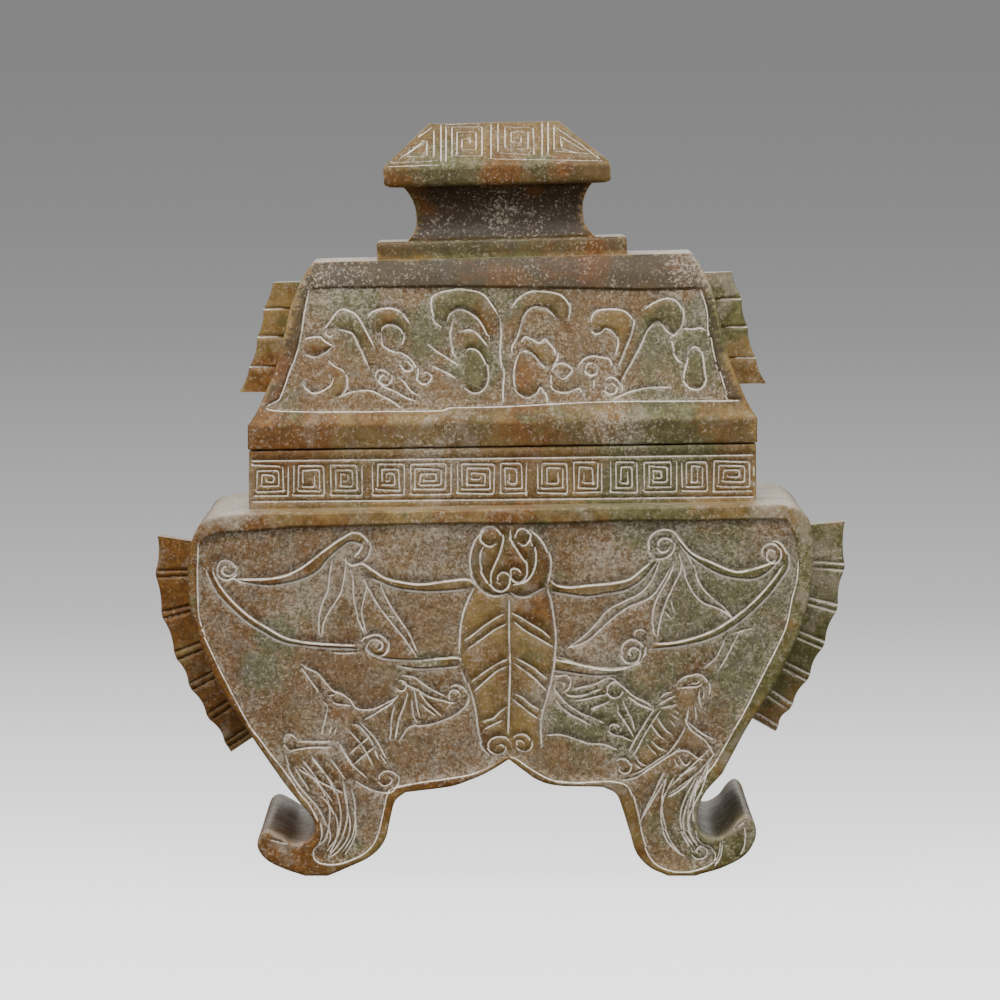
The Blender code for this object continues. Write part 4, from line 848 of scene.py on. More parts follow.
def wall_face(levels, up, facing, reach, out, spacing, drawing):
    """One carved wall: (place along, distance out, height), triangles, marks, and its two ends.

    It is a surface of (place along the wall, length up the profile), pushed in by its relief.
    """
    ends = [np.linspace(-reach[i], reach[i], max(2, round(2 * reach[i] / spacing) + 1)) for i in (0, -1)]
    ends[1] = -ends[1]
    ring = np.vstack([np.column_stack([ends[0], np.full(len(ends[0]), up[0])]),
                      np.column_stack([reach, up])[1:],
                      np.column_stack([ends[1], np.full(len(ends[1]), up[-1])])[1:],
                      np.column_stack([-reach, up])[::-1][1:-1]])
    rows = []
    for half, length in zip(reach, up):
        count = max(3, round(2 * half / spacing))
        rows.append(np.column_stack([np.linspace(-half, half, count), np.full(count, length)]))
    rows = np.vstack(rows)
    wanted, relief = drawing
    if len(wanted):
        rows = rows[~near(rows, wanted, LINE_ROOM)]
    points, faces, free = fill(ring, np.vstack([wanted, rows]), spacing * 1.5, WALL_GRAIN)
    depth, marks = relief(points) if relief else (np.zeros(len(points)), PLAIN)
    depth = depth * free
    level = np.column_stack([np.interp(points[:, 1], up, facing[:, i]) for i in (0, 1)])
    far = np.interp(points[:, 1], up, out) - depth * level[:, 0]
    height = np.interp(points[:, 1], up, levels[:, 0]) - depth * level[:, 1]
    return np.column_stack([points[:, 0], far, height]), faces, marks, ends


def four_walls(name, levels, corner, spacing, drawings, bend):
    """A closed solid with four carved walls, its upright corners rounded.

    `levels` are rows of (height, half width, half depth). `drawings` gives for a wall's axis and
    sign the points it needs and its relief, and `bend` moves the straight-built places.
    """
    z, half_x, half_y = levels.T
    up = profile_length(levels)
    facing = np.column_stack([np.gradient(z, up), -np.gradient(half_y, up)])
    facing /= np.hypot(*facing.T)[:, None]
    radius = np.minimum(corner, np.minimum(half_x, half_y) * 0.45)
    turn = np.linspace(0.0, math.pi / 2, 5)
    bow = [(half - radius)[:, None] + radius[:, None] * way(turn)
           for half, way in ((half_x, np.cos), (half_y, np.sin))]
    parts = []
    rims = {0: [], len(z) - 1: []}
    for axis, sign, (corner_x, corner_y) in WALLS:
        along, out = (half_x, half_y) if axis else (half_y, half_x)
        drawing = drawings.get((axis, sign), (np.zeros((0, 2)), None))
        places, faces, marks, ends = wall_face(levels, up, facing, along - radius, out, spacing, drawing)
        hand = -sign if axis else sign
        order = [0, 1] if axis else [1, 0]
        places[:, :2] = (places[:, :2] * (hand, sign))[:, order]
        parts.append((places, faces, marks))
        posts = np.stack([corner_x * bow[0], corner_y * bow[1], np.broadcast_to(z[:, None], bow[0].shape)],
                         axis=-1)
        parts.append((posts.reshape(-1, 3), grid_faces(len(z), len(turn), False), PLAIN))
        for i, end in zip(rims, ends):
            rims[i] += [np.column_stack([end * hand, np.full(len(end), sign * out[i])])[:, order],
                        posts[i][:, :2]]
    for i, rows in rims.items():
        flat = np.vstack(rows)
        flat = flat[np.unique(np.round(flat, 7), axis=0, return_index=True)[1]]
        shape = flat / (half_x[i], half_y[i])
        flat = flat[np.argsort(np.arctan2(shape[:, 1], shape[:, 0]))]
        points, faces, _ = fill(flat, np.zeros((1, 2)), max(half_y[i], 0.004), 0.0003)
        parts.append((np.column_stack([points, np.full(len(points), z[i])]), faces, PLAIN))
    return stone(name, [(bend(places), faces, marks) for places, faces, marks in parts])


# key frets of the neck's front, in pixels: left and right edge of each one's cell
FRET_CELLS = ((249, 290), (291, 326), (328, 364), (370, 406), (408, 453), (455, 497), (498, 529),
              (535, 570), (572, 605), (609, 640), (642, 679), (680, 710), (712, 757))
NECK_ENDS = (247.0, 759.0)
FRET_TOP = (464.5, 459.5)        # upper edge of the cells, at the neck's left and right end
FRET_FOOT = (498.0, 492.5)
LONG_LINES = ((461.0, 455.0), (502.0, 497.0))   # the lines above and below, at the same ends
FRET_PITCH = 4.7
FRET_MARGIN = (2.5, 1.5)
WOBBLE = 0.7                     # how far the hand strayed
# key frets of the neck's sides, in metres up the wall
SIDE_CELLS = 5
SIDE_HEIGHTS = (0.0112, 0.0236)
SIDE_LINES = (0.0086, 0.0258)
SIDE_PITCH = 0.0021
SIDE_MARGIN = 0.0011
SIDE_END = 0.004
NECK_BARE, NECK_DIRT_AND_SHADE, NECK_DARK = 0.3, 0.8, 0.15    # how bare and dark its polish is, and the dirt and painted shade by its lines
RIM_ROUND = 0.0006


def key_fret(low, high, pitch, hand):
    """Square spiral from a corner of its cell to the middle, pixels."""
    (x0, y0), (x1, y1) = low, high
    row = [(x0, y0), (x0, y1), (x1, y1), (x1, y0)]
    left, right, top, foot = x0 + pitch, x1, y0, y1
    while right - left > pitch * 1.5 and foot - top > pitch * 1.5:
        row += [(left, top), (left, foot - pitch)]
        foot -= pitch
        right -= pitch
        row.append((right, foot))
        top += pitch
        row.append((right, top))
        left += pitch
    row = np.array(row)
    if hand < 0:
        row[:, 0] = x0 + x1 - row[:, 0]
    return row


def front_frets(levels):
    """The frets and long lines of the neck's front, no two frets quite alike."""
    strokes = []
    wobble = np.random.default_rng(5)
    for i, (left, right) in enumerate(FRET_CELLS):
        share = ((left + right) / 2 - NECK_ENDS[0]) / (NECK_ENDS[1] - NECK_ENDS[0])
        top = np.interp(share, (0, 1), FRET_TOP) + FRET_MARGIN[1]
        foot = np.interp(share, (0, 1), FRET_FOOT) - FRET_MARGIN[1]
        row = key_fret((left + FRET_MARGIN[0], top), (right - FRET_MARGIN[0], foot), FRET_PITCH,
                       1 if i % 2 else -1)
        row = row + wobble.uniform(-WOBBLE, WOBBLE, row.shape)
        strokes.append((spaced(on_wall(row, levels), FRET_STEP), *FRET))
    for left, right in LONG_LINES:
        row = np.array([(NECK_ENDS[0] + 2, left), (500, (left + right) / 2 + 0.4), (NECK_ENDS[1] - 2, right)])
        strokes.append((spaced(on_wall(row, levels), PLAIN_STEP), *FRET))
    return strokes


def side_frets(half):
    """The frets and long lines of the neck's sides: equal square spirals, every other turned."""
    strokes = []
    cell = 2 * half / SIDE_CELLS
    for i in range(SIDE_CELLS):
        left = -half + i * cell
        square = []
        x0, x1 = left + SIDE_MARGIN, left + cell - SIDE_MARGIN
        z0, z1 = SIDE_HEIGHTS
        for _ in range(3):
            square += [(x0, z1), (x0, z0), (x1, z0), (x1, z1 - SIDE_PITCH)]
            x0, x1, z0, z1 = x0 + SIDE_PITCH, x1 - SIDE_PITCH, z0 + SIDE_PITCH, z1 - SIDE_PITCH
        square = np.array(square) if i % 2 else np.array(square) * (-1, 1) + (2 * left + cell, 0)
        strokes.append((spaced(square, FRET_STEP), *FRET))
    for height in SIDE_LINES:
        ends = np.array([(-half - 0.002, height), (half + 0.002, height)])
        strokes.append((spaced(ends, PLAIN_STEP), *FRET))
    return strokes


def neck_block():
    """The neck: key frets between two long lines on its four walls."""
    half_x, half_y, rim = NECK
    turn = np.linspace(0.2, math.pi / 2, 4)
    heights = np.concatenate([np.linspace(SHOULDER - NECK_ROOT, rim - 2 * RIM_ROUND, 14),
                              rim - RIM_ROUND * (1 - np.sin(turn))])
    shrink = np.concatenate([np.zeros(14), RIM_ROUND * (1 - np.cos(turn))])
    levels = np.column_stack([heights, half_x - shrink, half_y - shrink])
    drawings = {}
    for axis, strokes, rows in ((1, front_frets(levels), DRAWN_ROWS),
                                (0, side_frets(half_y - SIDE_END), PLAIN_ROWS)):

        def relief(points, strokes=strokes):
            cut, chalk, halo = cut_lines(points, strokes)
            even = np.ones(len(points))
            return cut, np.column_stack([chalk, NECK_BARE * even, NECK_DIRT_AND_SHADE * halo ** 3, NECK_DARK * even])

        drawings[axis, -1] = drawings[axis, 1] = (stroke_rows(strokes, rows), relief)
    return four_walls("neck", levels, 0.0010, 0.0026, drawings, bend_top)


GROOVE = (0.0006, 0.0008)       # half width and depth of the grooves across a flange
FLANGE_EDGE = 0.0012            # radius of its worn edges
LONG_PART = 0.005               # the edge is hollowed only between grooves further apart than this


def flange_block(name, path, outward, reach, half_thick, root, cuts, scallop, chalk):
    """A flange: a rounded section swept along `path`, cut across by the grooves `cuts`.

    `path` and `outward` are rows of (x, z), `cuts` are lengths along the path, and `chalk` says
    how full the grooves are. Between grooves its edge is hollowed by a parabola, `scallop` deep.
    """
    length = lengths_along(path)
    across = np.array([-1.0, -0.5, 0.0, 0.5, 1.0]) * GROOVE[0]
    stops = np.concatenate([np.arange(0.0, length[-1], OUTLINE_STEP), [length[-1]],
                            *[c + across for c in cuts]])
    stops = np.unique(np.round(np.clip(stops, 0.0, length[-1]), 5))
    stops = stops[np.concatenate([[True], np.diff(stops) > 0.0002])]
    base = np.column_stack([np.interp(stops, length, path[:, i]) for i in (0, 1)])
    out = np.column_stack([np.interp(stops, length, outward[:, i]) for i in (0, 1)])
    out /= np.hypot(*out.T)[:, None]
    gap = np.min(np.abs(stops[:, None] - np.array(cuts)), axis=1)
    sunk = GROOVE[1] * ease(1 - gap / GROOVE[0])
    ends = np.concatenate([[0.0], np.array(cuts), [length[-1]]])
    which = np.clip(np.searchsorted(ends, stops, side="right") - 1, 0, len(ends) - 2)
    share = (stops - ends[which]) / np.maximum(ends[which + 1] - ends[which], 1e-9)
    long_part = (ends[which + 1] - ends[which]) > LONG_PART
    tip = reach - scallop * np.where(long_part, 4 * share * (1 - share), 0.0)
    flat = half_thick - sunk
    outs = [np.full(len(stops), -root), tip * 0.0, tip * 0.35, tip * 0.7, tip - FLANGE_EDGE - 0.001]
    sides = [flat] * 5
    for a in np.linspace(0.0, math.pi / 2, 4):
        outs.append(tip - FLANGE_EDGE * (1 - math.sin(a)))
        sides.append(flat - FLANGE_EDGE * (1 - math.cos(a)))
    outs += [tip] + outs[::-1]
    sides += [flat * 0.0] + [-s for s in sides[::-1]]
    outs, sides = np.array(outs).T, np.array(sides).T
    places = np.stack([base[:, :1] + out[:, :1] * outs, sides, base[:, 1:] + out[:, 1:] * outs], axis=-1)
    rows, columns = outs.shape
    white = np.repeat(sunk / GROOVE[1], columns) * chalk
    # dirt and painted shade in and beside the grooves
    dirt_and_shade = np.repeat(ease(1 - gap / 0.0016), columns) * 0.6
    away = np.clip(outs.ravel() / 0.003 - 0.5, 0, 1)
    marks = np.column_stack([white * away, 0 * white, dirt_and_shade * away, 0 * white])
    parts = [(places.reshape(-1, 3), grid_faces(rows, columns), marks)]
    parts += [(places[i], [list(range(columns))], PLAIN) for i in (0, -1)]
    return stone(name, parts)


# where the pairs of grooves cross the flanges, in rows of the photograph
FLANGE_CUTS = {"left": (567, 573, 600.5, 606, 636, 643, 664, 669.5, 692, 697.5, 719, 724),
               "right": (558, 564, 593, 599, 625, 631, 655, 661, 681, 687, 704, 710)}
FLANGE_TOP_DROP = {"left": 0.016, "right": 0.0125}      # where the flange starts, below the shoulder
FLANGE_TOE_GAP = {"left": 0.0225, "right": 0.018}       # and where it stops, above the toe
FLANGE_CHALK = {"left": 0.35, "right": 0.95}
FLANGE = (0.0161, 0.006, 0.005)         # reach, half thickness, root in the body
SCALLOP = 0.0012


def body_flange(side):
    """The flange down the flank of one side."""
    line = smooth_line(np.array(FLANK[side]) * 0.001, 0.001)
    ends = (line[0, 1] - FLANGE_TOP_DROP[side], line[-1, 1] + FLANGE_TOE_GAP[side])
    top, bottom = [(np.interp(-z, -line[:, 1], line[:, 0]), z) for z in ends]
    line = np.vstack([top, line[(line[:, 1] < ends[0] - 0.0003) & (line[:, 1] > ends[1] + 0.0003)], bottom])
    ahead = np.gradient(line, axis=0)
    outward = np.column_stack([-ahead[:, 1], ahead[:, 0]])
    outward *= np.sign(outward[:, :1] * (1 if side == "right" else -1))
    rows = from_photo(np.column_stack([np.zeros(12), FLANGE_CUTS[side]]), HALF_DEPTH)[:, 1] - 0.001
    cuts = np.interp(-rows, -line[:, 1], lengths_along(line))
    return flange_block("flange " + side, line, outward, *FLANGE, cuts, SCALLOP, FLANGE_CHALK[side])


def hollow_block(name, levels, middle, bend=None):
    """A lined hollow: rounded sections (superellipse of power 5) through `levels`."""
    count, power = 96, 5
    turn = np.arange(count) / count * 2 * math.pi
    c, s = np.cos(turn), np.sin(turn)
    size = (np.abs(c) ** power + np.abs(s) ** power) ** (-1 / power)
    order = np.arange(len(levels))
    fine = np.linspace(0, order[-1], 36)
    levels = np.column_stack([np.interp(fine, order, row) for row in zip(*levels)])
    rings = np.stack([middle + levels[:, 1:2] * size * c, levels[:, 2:] * size * s,
                      np.broadcast_to(levels[:, :1], (len(levels), count))], axis=-1)
    places = rings.reshape(-1, 3)
    places = bend(places) if bend else places
    sawn = (0.0, 0.7, 0.2, 0.0)
    parts = [(places, grid_faces(len(levels), count), sawn),
             (places[:count], [list(range(count))[::-1]], sawn),
             (places[-count:], [list(range(count))], sawn)]
    return stone(name, parts)


# height, half width and half depth of the hollow, from its floor up through the neck
HOLLOW = ((0.0610, 0.0763, 0.0420), (0.0682, 0.0861, 0.0475), (0.0934, 0.1025, 0.0500),
          (0.1186, 0.1079, 0.0500), (0.1330, 0.1014, 0.0450), (0.1421, 0.0900, 0.0315),
          (0.1820, 0.0900, 0.0315))


def colour(code):
    """Colour of a picture editor's hex code as the linear values a shader takes."""
    values = [int(code[i:i + 2], 16) / 255 for i in (1, 3, 5)]
    return [v / 12.92 if v <= 0.04045 else ((v + 0.055) / 1.055) ** 2.4 for v in values] + [1.0]


def add(tree, kind, inputs=None, **settings):
    """Add a shader node. `inputs` pairs a socket with its value, its hex colour or what feeds it,
    which is a socket of another node, or a node, and then that one's first output in use."""
    made = tree.nodes.new("ShaderNode" + kind)
    for name, value in settings.items():
        setattr(made, name, value)
    for socket, value in (inputs or {}).items():
        if isinstance(value, bpy.types.Node):
            value = next(output for output in value.outputs if output.enabled)
        if isinstance(value, bpy.types.NodeSocket):
            tree.links.new(value, made.inputs[socket])
        else:
            made.inputs[socket].default_value = colour(value) if isinstance(value, str) else value
    return made


def new_material(name):
    """An empty material and its tree of nodes."""
    material = bpy.data.materials.new(name)
    material.use_nodes = True
    material.node_tree.nodes.clear()
    return material, material.node_tree


def jade(name):
    """Mottled jade: dark polished borders and bands, pale freckled ground, chalk in the lines.

    Clouds are noise of 20 mm, freckles of 1 to 2 mm; the stains say where rust, olive and ash
    gather. The carving marks hold the lines (red), rough ground (green), dirt and painted shade
    beside the lines (blue) and the darkest polish (alpha), which on the knob's stem is painted
    shade under the eaves.
    """
    material, tree = new_material(name)
    where = add(tree, "TexCoord").outputs["Object"]
    carving, stained, up = [add(tree, "Attribute", attribute_name=kind, attribute_type="GEOMETRY")
                            for kind in ("carving", "stains", "upward")]
    # the darkest polish; on the knob's stem, under the eaves, it is painted shade
    deep = carving.outputs["Alpha"]
    line, bare, halo = add(tree, "SeparateColor", {"Color": carving.outputs["Color"]}).outputs[:3]
    stained = add(tree, "SeparateColor", {"Color": stained.outputs["Color"]}).outputs[:3]

    def patches(millimetres, detail, roughness, start, low, high, gathered=None, least=0.0, most=1.0):
        """Noise of this size, plus what is `gathered` there, eased from `low` to `high`."""
        moved = add(tree, "VectorMath", {0: where, 1: (start, start * 0.7, start * 1.3)}, operation="ADD")
        field = add(tree, "TexNoise", {"Vector": moved, "Scale": 1000 / millimetres, "Detail": detail,
                                       "Roughness": roughness})
        if gathered is not None:
            field = add(tree, "Math", {0: field, 1: gathered}, operation="ADD")
        return add(tree, "MapRange", {"Value": field, "From Min": low, "From Max": high, "To Min": least,
                                      "To Max": most}, interpolation_type="SMOOTHSTEP")

    def cover(under, over, share, strength=None):
        """The colour `over` laid on `under` by `share`, at most `strength` thick."""
        if strength is not None:
            share = add(tree, "Math", {0: share, 1: strength}, operation="MULTIPLY")
        return add(tree, "Mix", {0: share, 6: under, 7: over}, data_type="RGBA")

    # polished stone: brown and tan clouds, with rust, olive and ash-grey patches
    clouds = patches(18, 6.0, 0.70, 0.0, 0.38, 0.62)
    small = patches(3.4, 6.0, 0.75, 0.3, 0.42, 0.62)
    gathered = [add(tree, "Math", {0: stain, 1: push}, operation="MULTIPLY")
                for stain, push in zip(stained, (0.34, 0.30, 0.18))]
    rust = patches(20, 6.0, 0.68, 0.9, 0.53, 0.70, gathered[0])
    olive = patches(24, 6.0, 0.68, 1.7, 0.54, 0.70, gathered[1])
    ash = patches(12, 6.0, 0.68, 2.6, 0.55, 0.70, gathered[2])
    polished = cover("#644811", "#8b6d33", clouds)
    for over, share, strength in (("#8b7650", small, 0.6),
                                  (cover("#5e3500", "#835208", small), rust, 0.85),
                                  (cover("#46491f", "#6b6c3e", small), olive, 0.85),
                                  ("#988b78", ash, 0.6),
                                  (cover("#32230a", "#573200", rust), deep, None)):
        polished = cover(polished, over, share, strength)

    # sunk ground: greyer over the same clouds, freckled with brown, grey and chalk
    ground = cover(polished, cover(cover("#8d7455", "#a38c70", clouds), "#7f8463", olive, 0.7), 0.50)
    freckles = patches(2.1, 5.0, 0.85, 3.1, 0.42, 0.58)
    ground = cover(ground, cover("#64431a", "#4f4e30", olive), freckles, 0.75)
    ground = cover(ground, "#7b7468", patches(9, 6.0, 0.8, 3.9, 0.50, 0.64), 0.5)
    body = cover(polished, ground, bare)

    # dirt and painted shade in and beside the lines
    shade = add(tree, "Math", {0: halo, 1: halo}, operation="MULTIPLY")
    soil_and_shade = add(tree, "Math", {0: patches(2.4, 4.0, 0.8, 5.8, 0.30, 0.55), 1: 0.34}, operation="MULTIPLY")
    body = cover(body, "#3c2d17", shade, soil_and_shade)

    # chalk dust on the ground, around the lines, in clouds, on what faces up and on the ash patches
    dust = add(tree, "Math", {0: shade, 1: 0.08}, operation="MULTIPLY")
    dust = add(tree, "Math", {0: 0.05, 1: dust}, operation="ADD")
    dust = add(tree, "Math", {0: bare, 1: dust}, operation="MULTIPLY")
    ledges = add(tree, "MapRange", {"Value": up.outputs["Fac"], "From Min": 0.80, "From Max": 1.0},
                 interpolation_type="SMOOTHSTEP")
    drifts = patches(16, 6.0, 0.75, 4.9, 0.42, 0.60)
    for place, amount in ((drifts, 0.06), (ledges, 0.09), (stained[2], 0.08)):
        more = add(tree, "Math", {0: place, 1: amount}, operation="MULTIPLY")
        dust = add(tree, "Math", {0: dust, 1: more}, operation="ADD")
    body = cover(body, "#cabda8", patches(1.2, 3.0, 0.8, 4.4, 0.57, 0.76, dust), 0.55)

    # pits, then the chalk that fills the lines, worn thin in places; it keeps to the wall of each line that
    # faces the light, so it is partly a painted highlight
    pitting = add(tree, "Math", {0: bare, 1: 0.03}, operation="MULTIPLY")
    body = cover(body, "#2e2110", patches(1.2, 4.0, 0.8, 5.3, 0.57, 0.67, pitting), 0.62)
    filled = add(tree, "Math", {0: patches(1.2, 3.0, 0.8, 6.1, 0.82, 1.02, line),
                                1: patches(5.5, 5.0, 0.75, 6.5, 0.34, 0.50, least=0.3)}, operation="MULTIPLY")
    body = cover(body, "#ede3d2", filled)

    # polish is uneven, and the ground and the chalk are matt and grainy
    gloss = patches(6, 4.0, 0.6, 7.0, 0.3, 0.7, least=0.30, most=0.50)
    for share, matt in ((bare, 0.75), (filled, 0.9)):
        gloss = add(tree, "Mix", {0: share, 2: gloss, 3: matt})
    moved = add(tree, "VectorMath", {0: where, 1: (8.0, 8.0 * 0.7, 8.0 * 1.3)}, operation="ADD")
    grain = add(tree, "TexNoise", {"Vector": moved, "Scale": 1000 / 1.5, "Detail": 5.0, "Roughness": 0.8})
    height = add(tree, "Math", {0: bare, 1: 0.8}, operation="MULTIPLY")
    height = add(tree, "Math", {0: height, 1: 0.35}, operation="ADD")
    height = add(tree, "Math", {0: grain, 1: height}, operation="MULTIPLY")
    bumps = add(tree, "Bump", {"Height": height, "Strength": 0.9, "Distance": 0.0007})
    shader = add(tree, "BsdfPrincipled", {"Base Color": body, "Roughness": gloss, "Normal": bumps,
                                          "Specular IOR Level": 0.35})
    add(tree, "OutputMaterial", {"Surface": shader})
    return material


body = carved_from("urn_body_stone", body_block(), [neck_block(), body_flange("left"), body_flange("right")],
                   [hollow_block("hollow", HOLLOW, NECK_OFFSET)])
weather(body, 31, lambda places: (places[:, 2] < 0.0006).astype(float))
body.data.materials.clear()
body.data.materials.append(jade("mottled_jade_vessel"))
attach(body, "root")
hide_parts("urn_body")

# The lid. One stone shaped like a roof, with a sunk carved panel front and back, a flange on
# each side and a knob with its own small hip roof; it lifts off, and a tongue under it sits in
# the vessel's mouth.

LID_BASE = 0.1700
LID_HALF = (0.1019, 0.0434)
LID_RIM = 0.0097
LID_INSET = (0.0258, 0.016)
LID_PROFILE = (0.0, 0.0, 0.09, 0.14, 0.196, 0.26, 0.366, 0.43, 0.548, 0.55, 0.732, 0.655, 0.885, 0.81,
               1.0, 1.0)
LID_SUNK = 0.0011
LID_LINE = (0.00076, 0.00065, 1.0)
LID_BACK = (0.00080, 0.00070, 0.8)
LID_EDGE = (
    309, 290, 330, 288, 400, 287.5, 460, 287, 540, 288, 600, 289, 650, 290, 700, 288, 704, 300, 707, 312,
    708, 331, 711, 338, 713, 350, 716, 362, 720, 372, 724, 385, 728, 398, 730, 400, 600, 401, 500, 406,
    450, 407, 430, 410, 277, 410, 280, 398, 285, 385, 290, 370, 295, 358, 299, 345, 302, 330, 304, 315,
    307, 300)
LID_TOP_EDGE = 16       # this many of those numbers run along the top
CLOUDS = {
    "A outer": (323, 330, 332, 318, 337, 311, 343, 308, 350, 310, 357, 314, 363, 323, 370, 336, 376, 348),
    "A inner": (337, 328, 345, 330, 353, 333, 358, 342, 363, 352, 370, 368),
    "dot": (334, 332, 331, 336, 327, 334, 326, 330, 330, 328),
    "leaf left": (303, 340, 308, 337, 315, 336, 321, 336, 325, 340, 335, 346),
    "leaf left low": (305, 354, 315, 356, 325, 352, 333, 346),
    "crescent": (328, 358, 332, 363, 338, 367, 343, 369, 346, 375, 347, 382, 345, 390, 340, 396),
    "crescent inner": (333, 378, 330, 385, 322, 390, 314, 392, 307, 388, 303, 382),
    "low arch": (337, 397, 345, 393, 355, 390, 365, 389, 373, 390, 381, 394, 391, 399, 398, 404, 404, 409),
    "B outer": (368, 316, 372, 311, 380, 308, 390, 307, 398, 309, 404, 313, 408, 319, 412, 324),
    "B inner": (381, 333, 382, 342, 388, 348, 395, 351, 402, 352, 410, 357, 415, 363, 418, 370, 417, 376,
                420, 381, 425, 383, 430, 380, 431, 374, 427, 371, 422, 373),
    "B eye": (381, 333, 383, 327, 389, 324, 396, 325, 402, 330, 404, 337, 401, 345),
    "spiral C": (375, 378, 376, 372, 380, 369, 386, 370, 391, 374, 391, 380, 386, 384, 380, 381, 380, 376,
                 384, 374, 387, 377),
    "eye left": (400, 360, 403, 367, 408, 370, 412, 368, 410, 362, 405, 360),
    "line left": (400, 377, 406, 382, 410, 388, 416, 393, 421, 394),
    "leaf low": (380, 384, 395, 390, 408, 397, 418, 400),
    "D outer": (442, 326, 436, 322, 432, 312, 431, 300, 433, 295, 440, 291, 450, 289, 460, 288, 470, 289,
                480, 291, 487, 296, 492, 303, 496, 309, 500, 316),
    "D inner": (447, 322, 450, 314, 457, 309, 464, 309, 472, 313, 480, 320, 486, 330, 490, 340),
    "centre": (500, 320, 501, 335, 500, 350, 501, 362, 504, 372, 503, 385, 503, 403),
    "E top": (461, 331, 468, 329, 474, 330, 480, 335, 485, 341, 490, 347),
    "E side": (453, 318, 450, 335, 453, 350, 458, 358),
    "F oval": (465, 352, 470, 348, 478, 350, 484, 358, 488, 368, 488, 380, 483, 389, 475, 392, 468, 389,
               464, 385),
    "slant": (427, 342, 437, 350, 448, 357, 460, 365),
    "slant two": (430, 364, 440, 368, 450, 373, 457, 378),
    "G outer": (511, 308, 517, 299, 524, 293, 532, 290, 542, 290, 552, 291, 560, 293, 566, 298, 570, 304,
                570, 312, 568, 320),
    "G inner": (512, 355, 512, 346, 517, 337, 520, 328, 523, 318, 528, 310, 535, 306, 545, 307, 552, 312,
                557, 318),
    "H outer": (521, 342, 525, 336, 532, 338, 540, 342, 545, 338, 550, 342, 556, 350, 558, 356, 555, 363,
                551, 368),
    "H inner": (520, 352, 527, 350, 535, 355, 541, 362, 548, 369),
    "I oval": (520, 352, 516, 360, 514, 370, 514, 382, 517, 390, 523, 395, 530, 396, 537, 392, 541, 386,
               545, 391, 547, 398, 548, 404),
    "J spiral": (551, 373, 551, 381, 554, 388, 561, 391, 568, 391, 574, 389, 580, 387, 583, 392, 585, 398),
    "J inner": (560, 376, 564, 378, 568, 375, 572, 370, 570, 365, 563, 362, 556, 364, 552, 370),
    "L eye": (598, 368, 596, 373, 591, 374, 586, 370, 587, 364, 592, 362, 597, 364),
    "L tail": (592, 376, 594, 382, 593, 389),
    "M arch": (577, 370, 580, 363, 586, 357, 594, 355, 602, 356, 610, 358, 614, 365, 616, 372),
    "N outer": (591, 322, 592, 316, 595, 311, 600, 309, 612, 308, 622, 309, 629, 313, 634, 320, 633, 328,
                630, 338, 625, 350, 621, 360, 618, 367),
    "N inner": (591, 328, 596, 333, 602, 331, 606, 328, 612, 330, 617, 336, 618, 345, 615, 355),
    "O spiral": (605, 380, 608, 377, 613, 376, 618, 379, 622, 385, 622, 392),
    "O inner": (606, 383, 606, 390, 611, 393, 616, 391, 617, 386, 613, 382, 609, 385),
    "P inner": (622, 381, 627, 370, 632, 362, 637, 352, 642, 343, 646, 333, 650, 327, 657, 321, 662, 323,
                668, 330, 674, 335),
    "P outer": (645, 308, 652, 303, 660, 299, 668, 297, 676, 299, 682, 306, 684, 314, 682, 325, 677, 332,
                671, 337),
    "Q stem": (671, 337, 673, 345, 675, 353, 680, 360, 686, 363),
    "Q leaf": (682, 327, 692, 328, 702, 327, 708, 331),
    "capsule": (690, 350, 695, 346, 700, 348, 703, 356, 705, 370, 706, 380, 702, 387, 696, 388, 690, 386,
                685, 380, 684, 373, 687, 362, 688, 355),
    "low arch right": (612, 399, 620, 395, 632, 390, 645, 387, 655, 386, 672, 386),
}
# raised shapes of the lid's panel, in pixels
CLOUD_SHAPES = (
    (323, 330, 337, 311, 350, 309, 363, 323, 376, 348, 370, 368, 358, 342, 337, 328),
    (303, 340, 321, 336, 335, 346, 325, 352, 305, 354),
    (328, 358, 343, 369, 347, 382, 340, 396, 322, 390, 333, 378),
    (368, 316, 390, 307, 408, 319, 412, 326, 404, 337, 395, 324, 381, 333, 372, 326),
    (431, 300, 450, 289, 480, 291, 500, 316, 490, 340, 472, 313, 457, 309, 447, 322, 434, 318),
    (461, 331, 474, 330, 490, 347, 488, 380, 475, 392, 464, 385, 465, 352),
    (511, 308, 532, 290, 560, 293, 570, 304, 568, 320, 557, 318, 545, 307, 528, 310, 517, 337),
    (521, 342, 540, 342, 558, 356, 551, 368, 541, 362, 527, 350),
    (516, 360, 520, 352, 541, 386, 530, 396, 517, 390, 514, 372),
    (591, 322, 600, 309, 622, 309, 634, 320, 630, 338, 618, 367, 617, 336, 602, 331, 591, 328),
    (645, 308, 668, 297, 684, 314, 677, 332, 662, 323, 650, 327, 632, 362, 622, 381, 616, 378, 640, 330),
    (690, 350, 703, 356, 706, 380, 696, 388, 684, 373),
)


def lid_levels():
    """Levels (height, half width, half depth) of the lid, its flared sides a smooth curve."""
    shares = smooth_line(LID_PROFILE, 0.02)
    z = LID_BASE + LID_RIM + (LID_HEIGHT - LID_RIM) * shares[:, 0]
    walls = np.column_stack([z, LID_HALF[0] - LID_INSET[0] * shares[:, 1],
                             LID_HALF[1] - LID_INSET[1] * shares[:, 1]])
    turn = np.linspace(0.0, math.pi / 2, 4)
    inward = RIM_ROUND * (1 - np.sin(turn))
    foot = np.column_stack([LID_BASE + RIM_ROUND * (1 - np.cos(turn)), LID_HALF[0] - inward,
                            LID_HALF[1] - inward])
    rim = np.column_stack([np.linspace(LID_BASE + 0.002, LID_BASE + LID_RIM - 0.001, 5),
                           np.full(5, LID_HALF[0]), np.full(5, LID_HALF[1])])
    return np.vstack([foot, rim, walls])


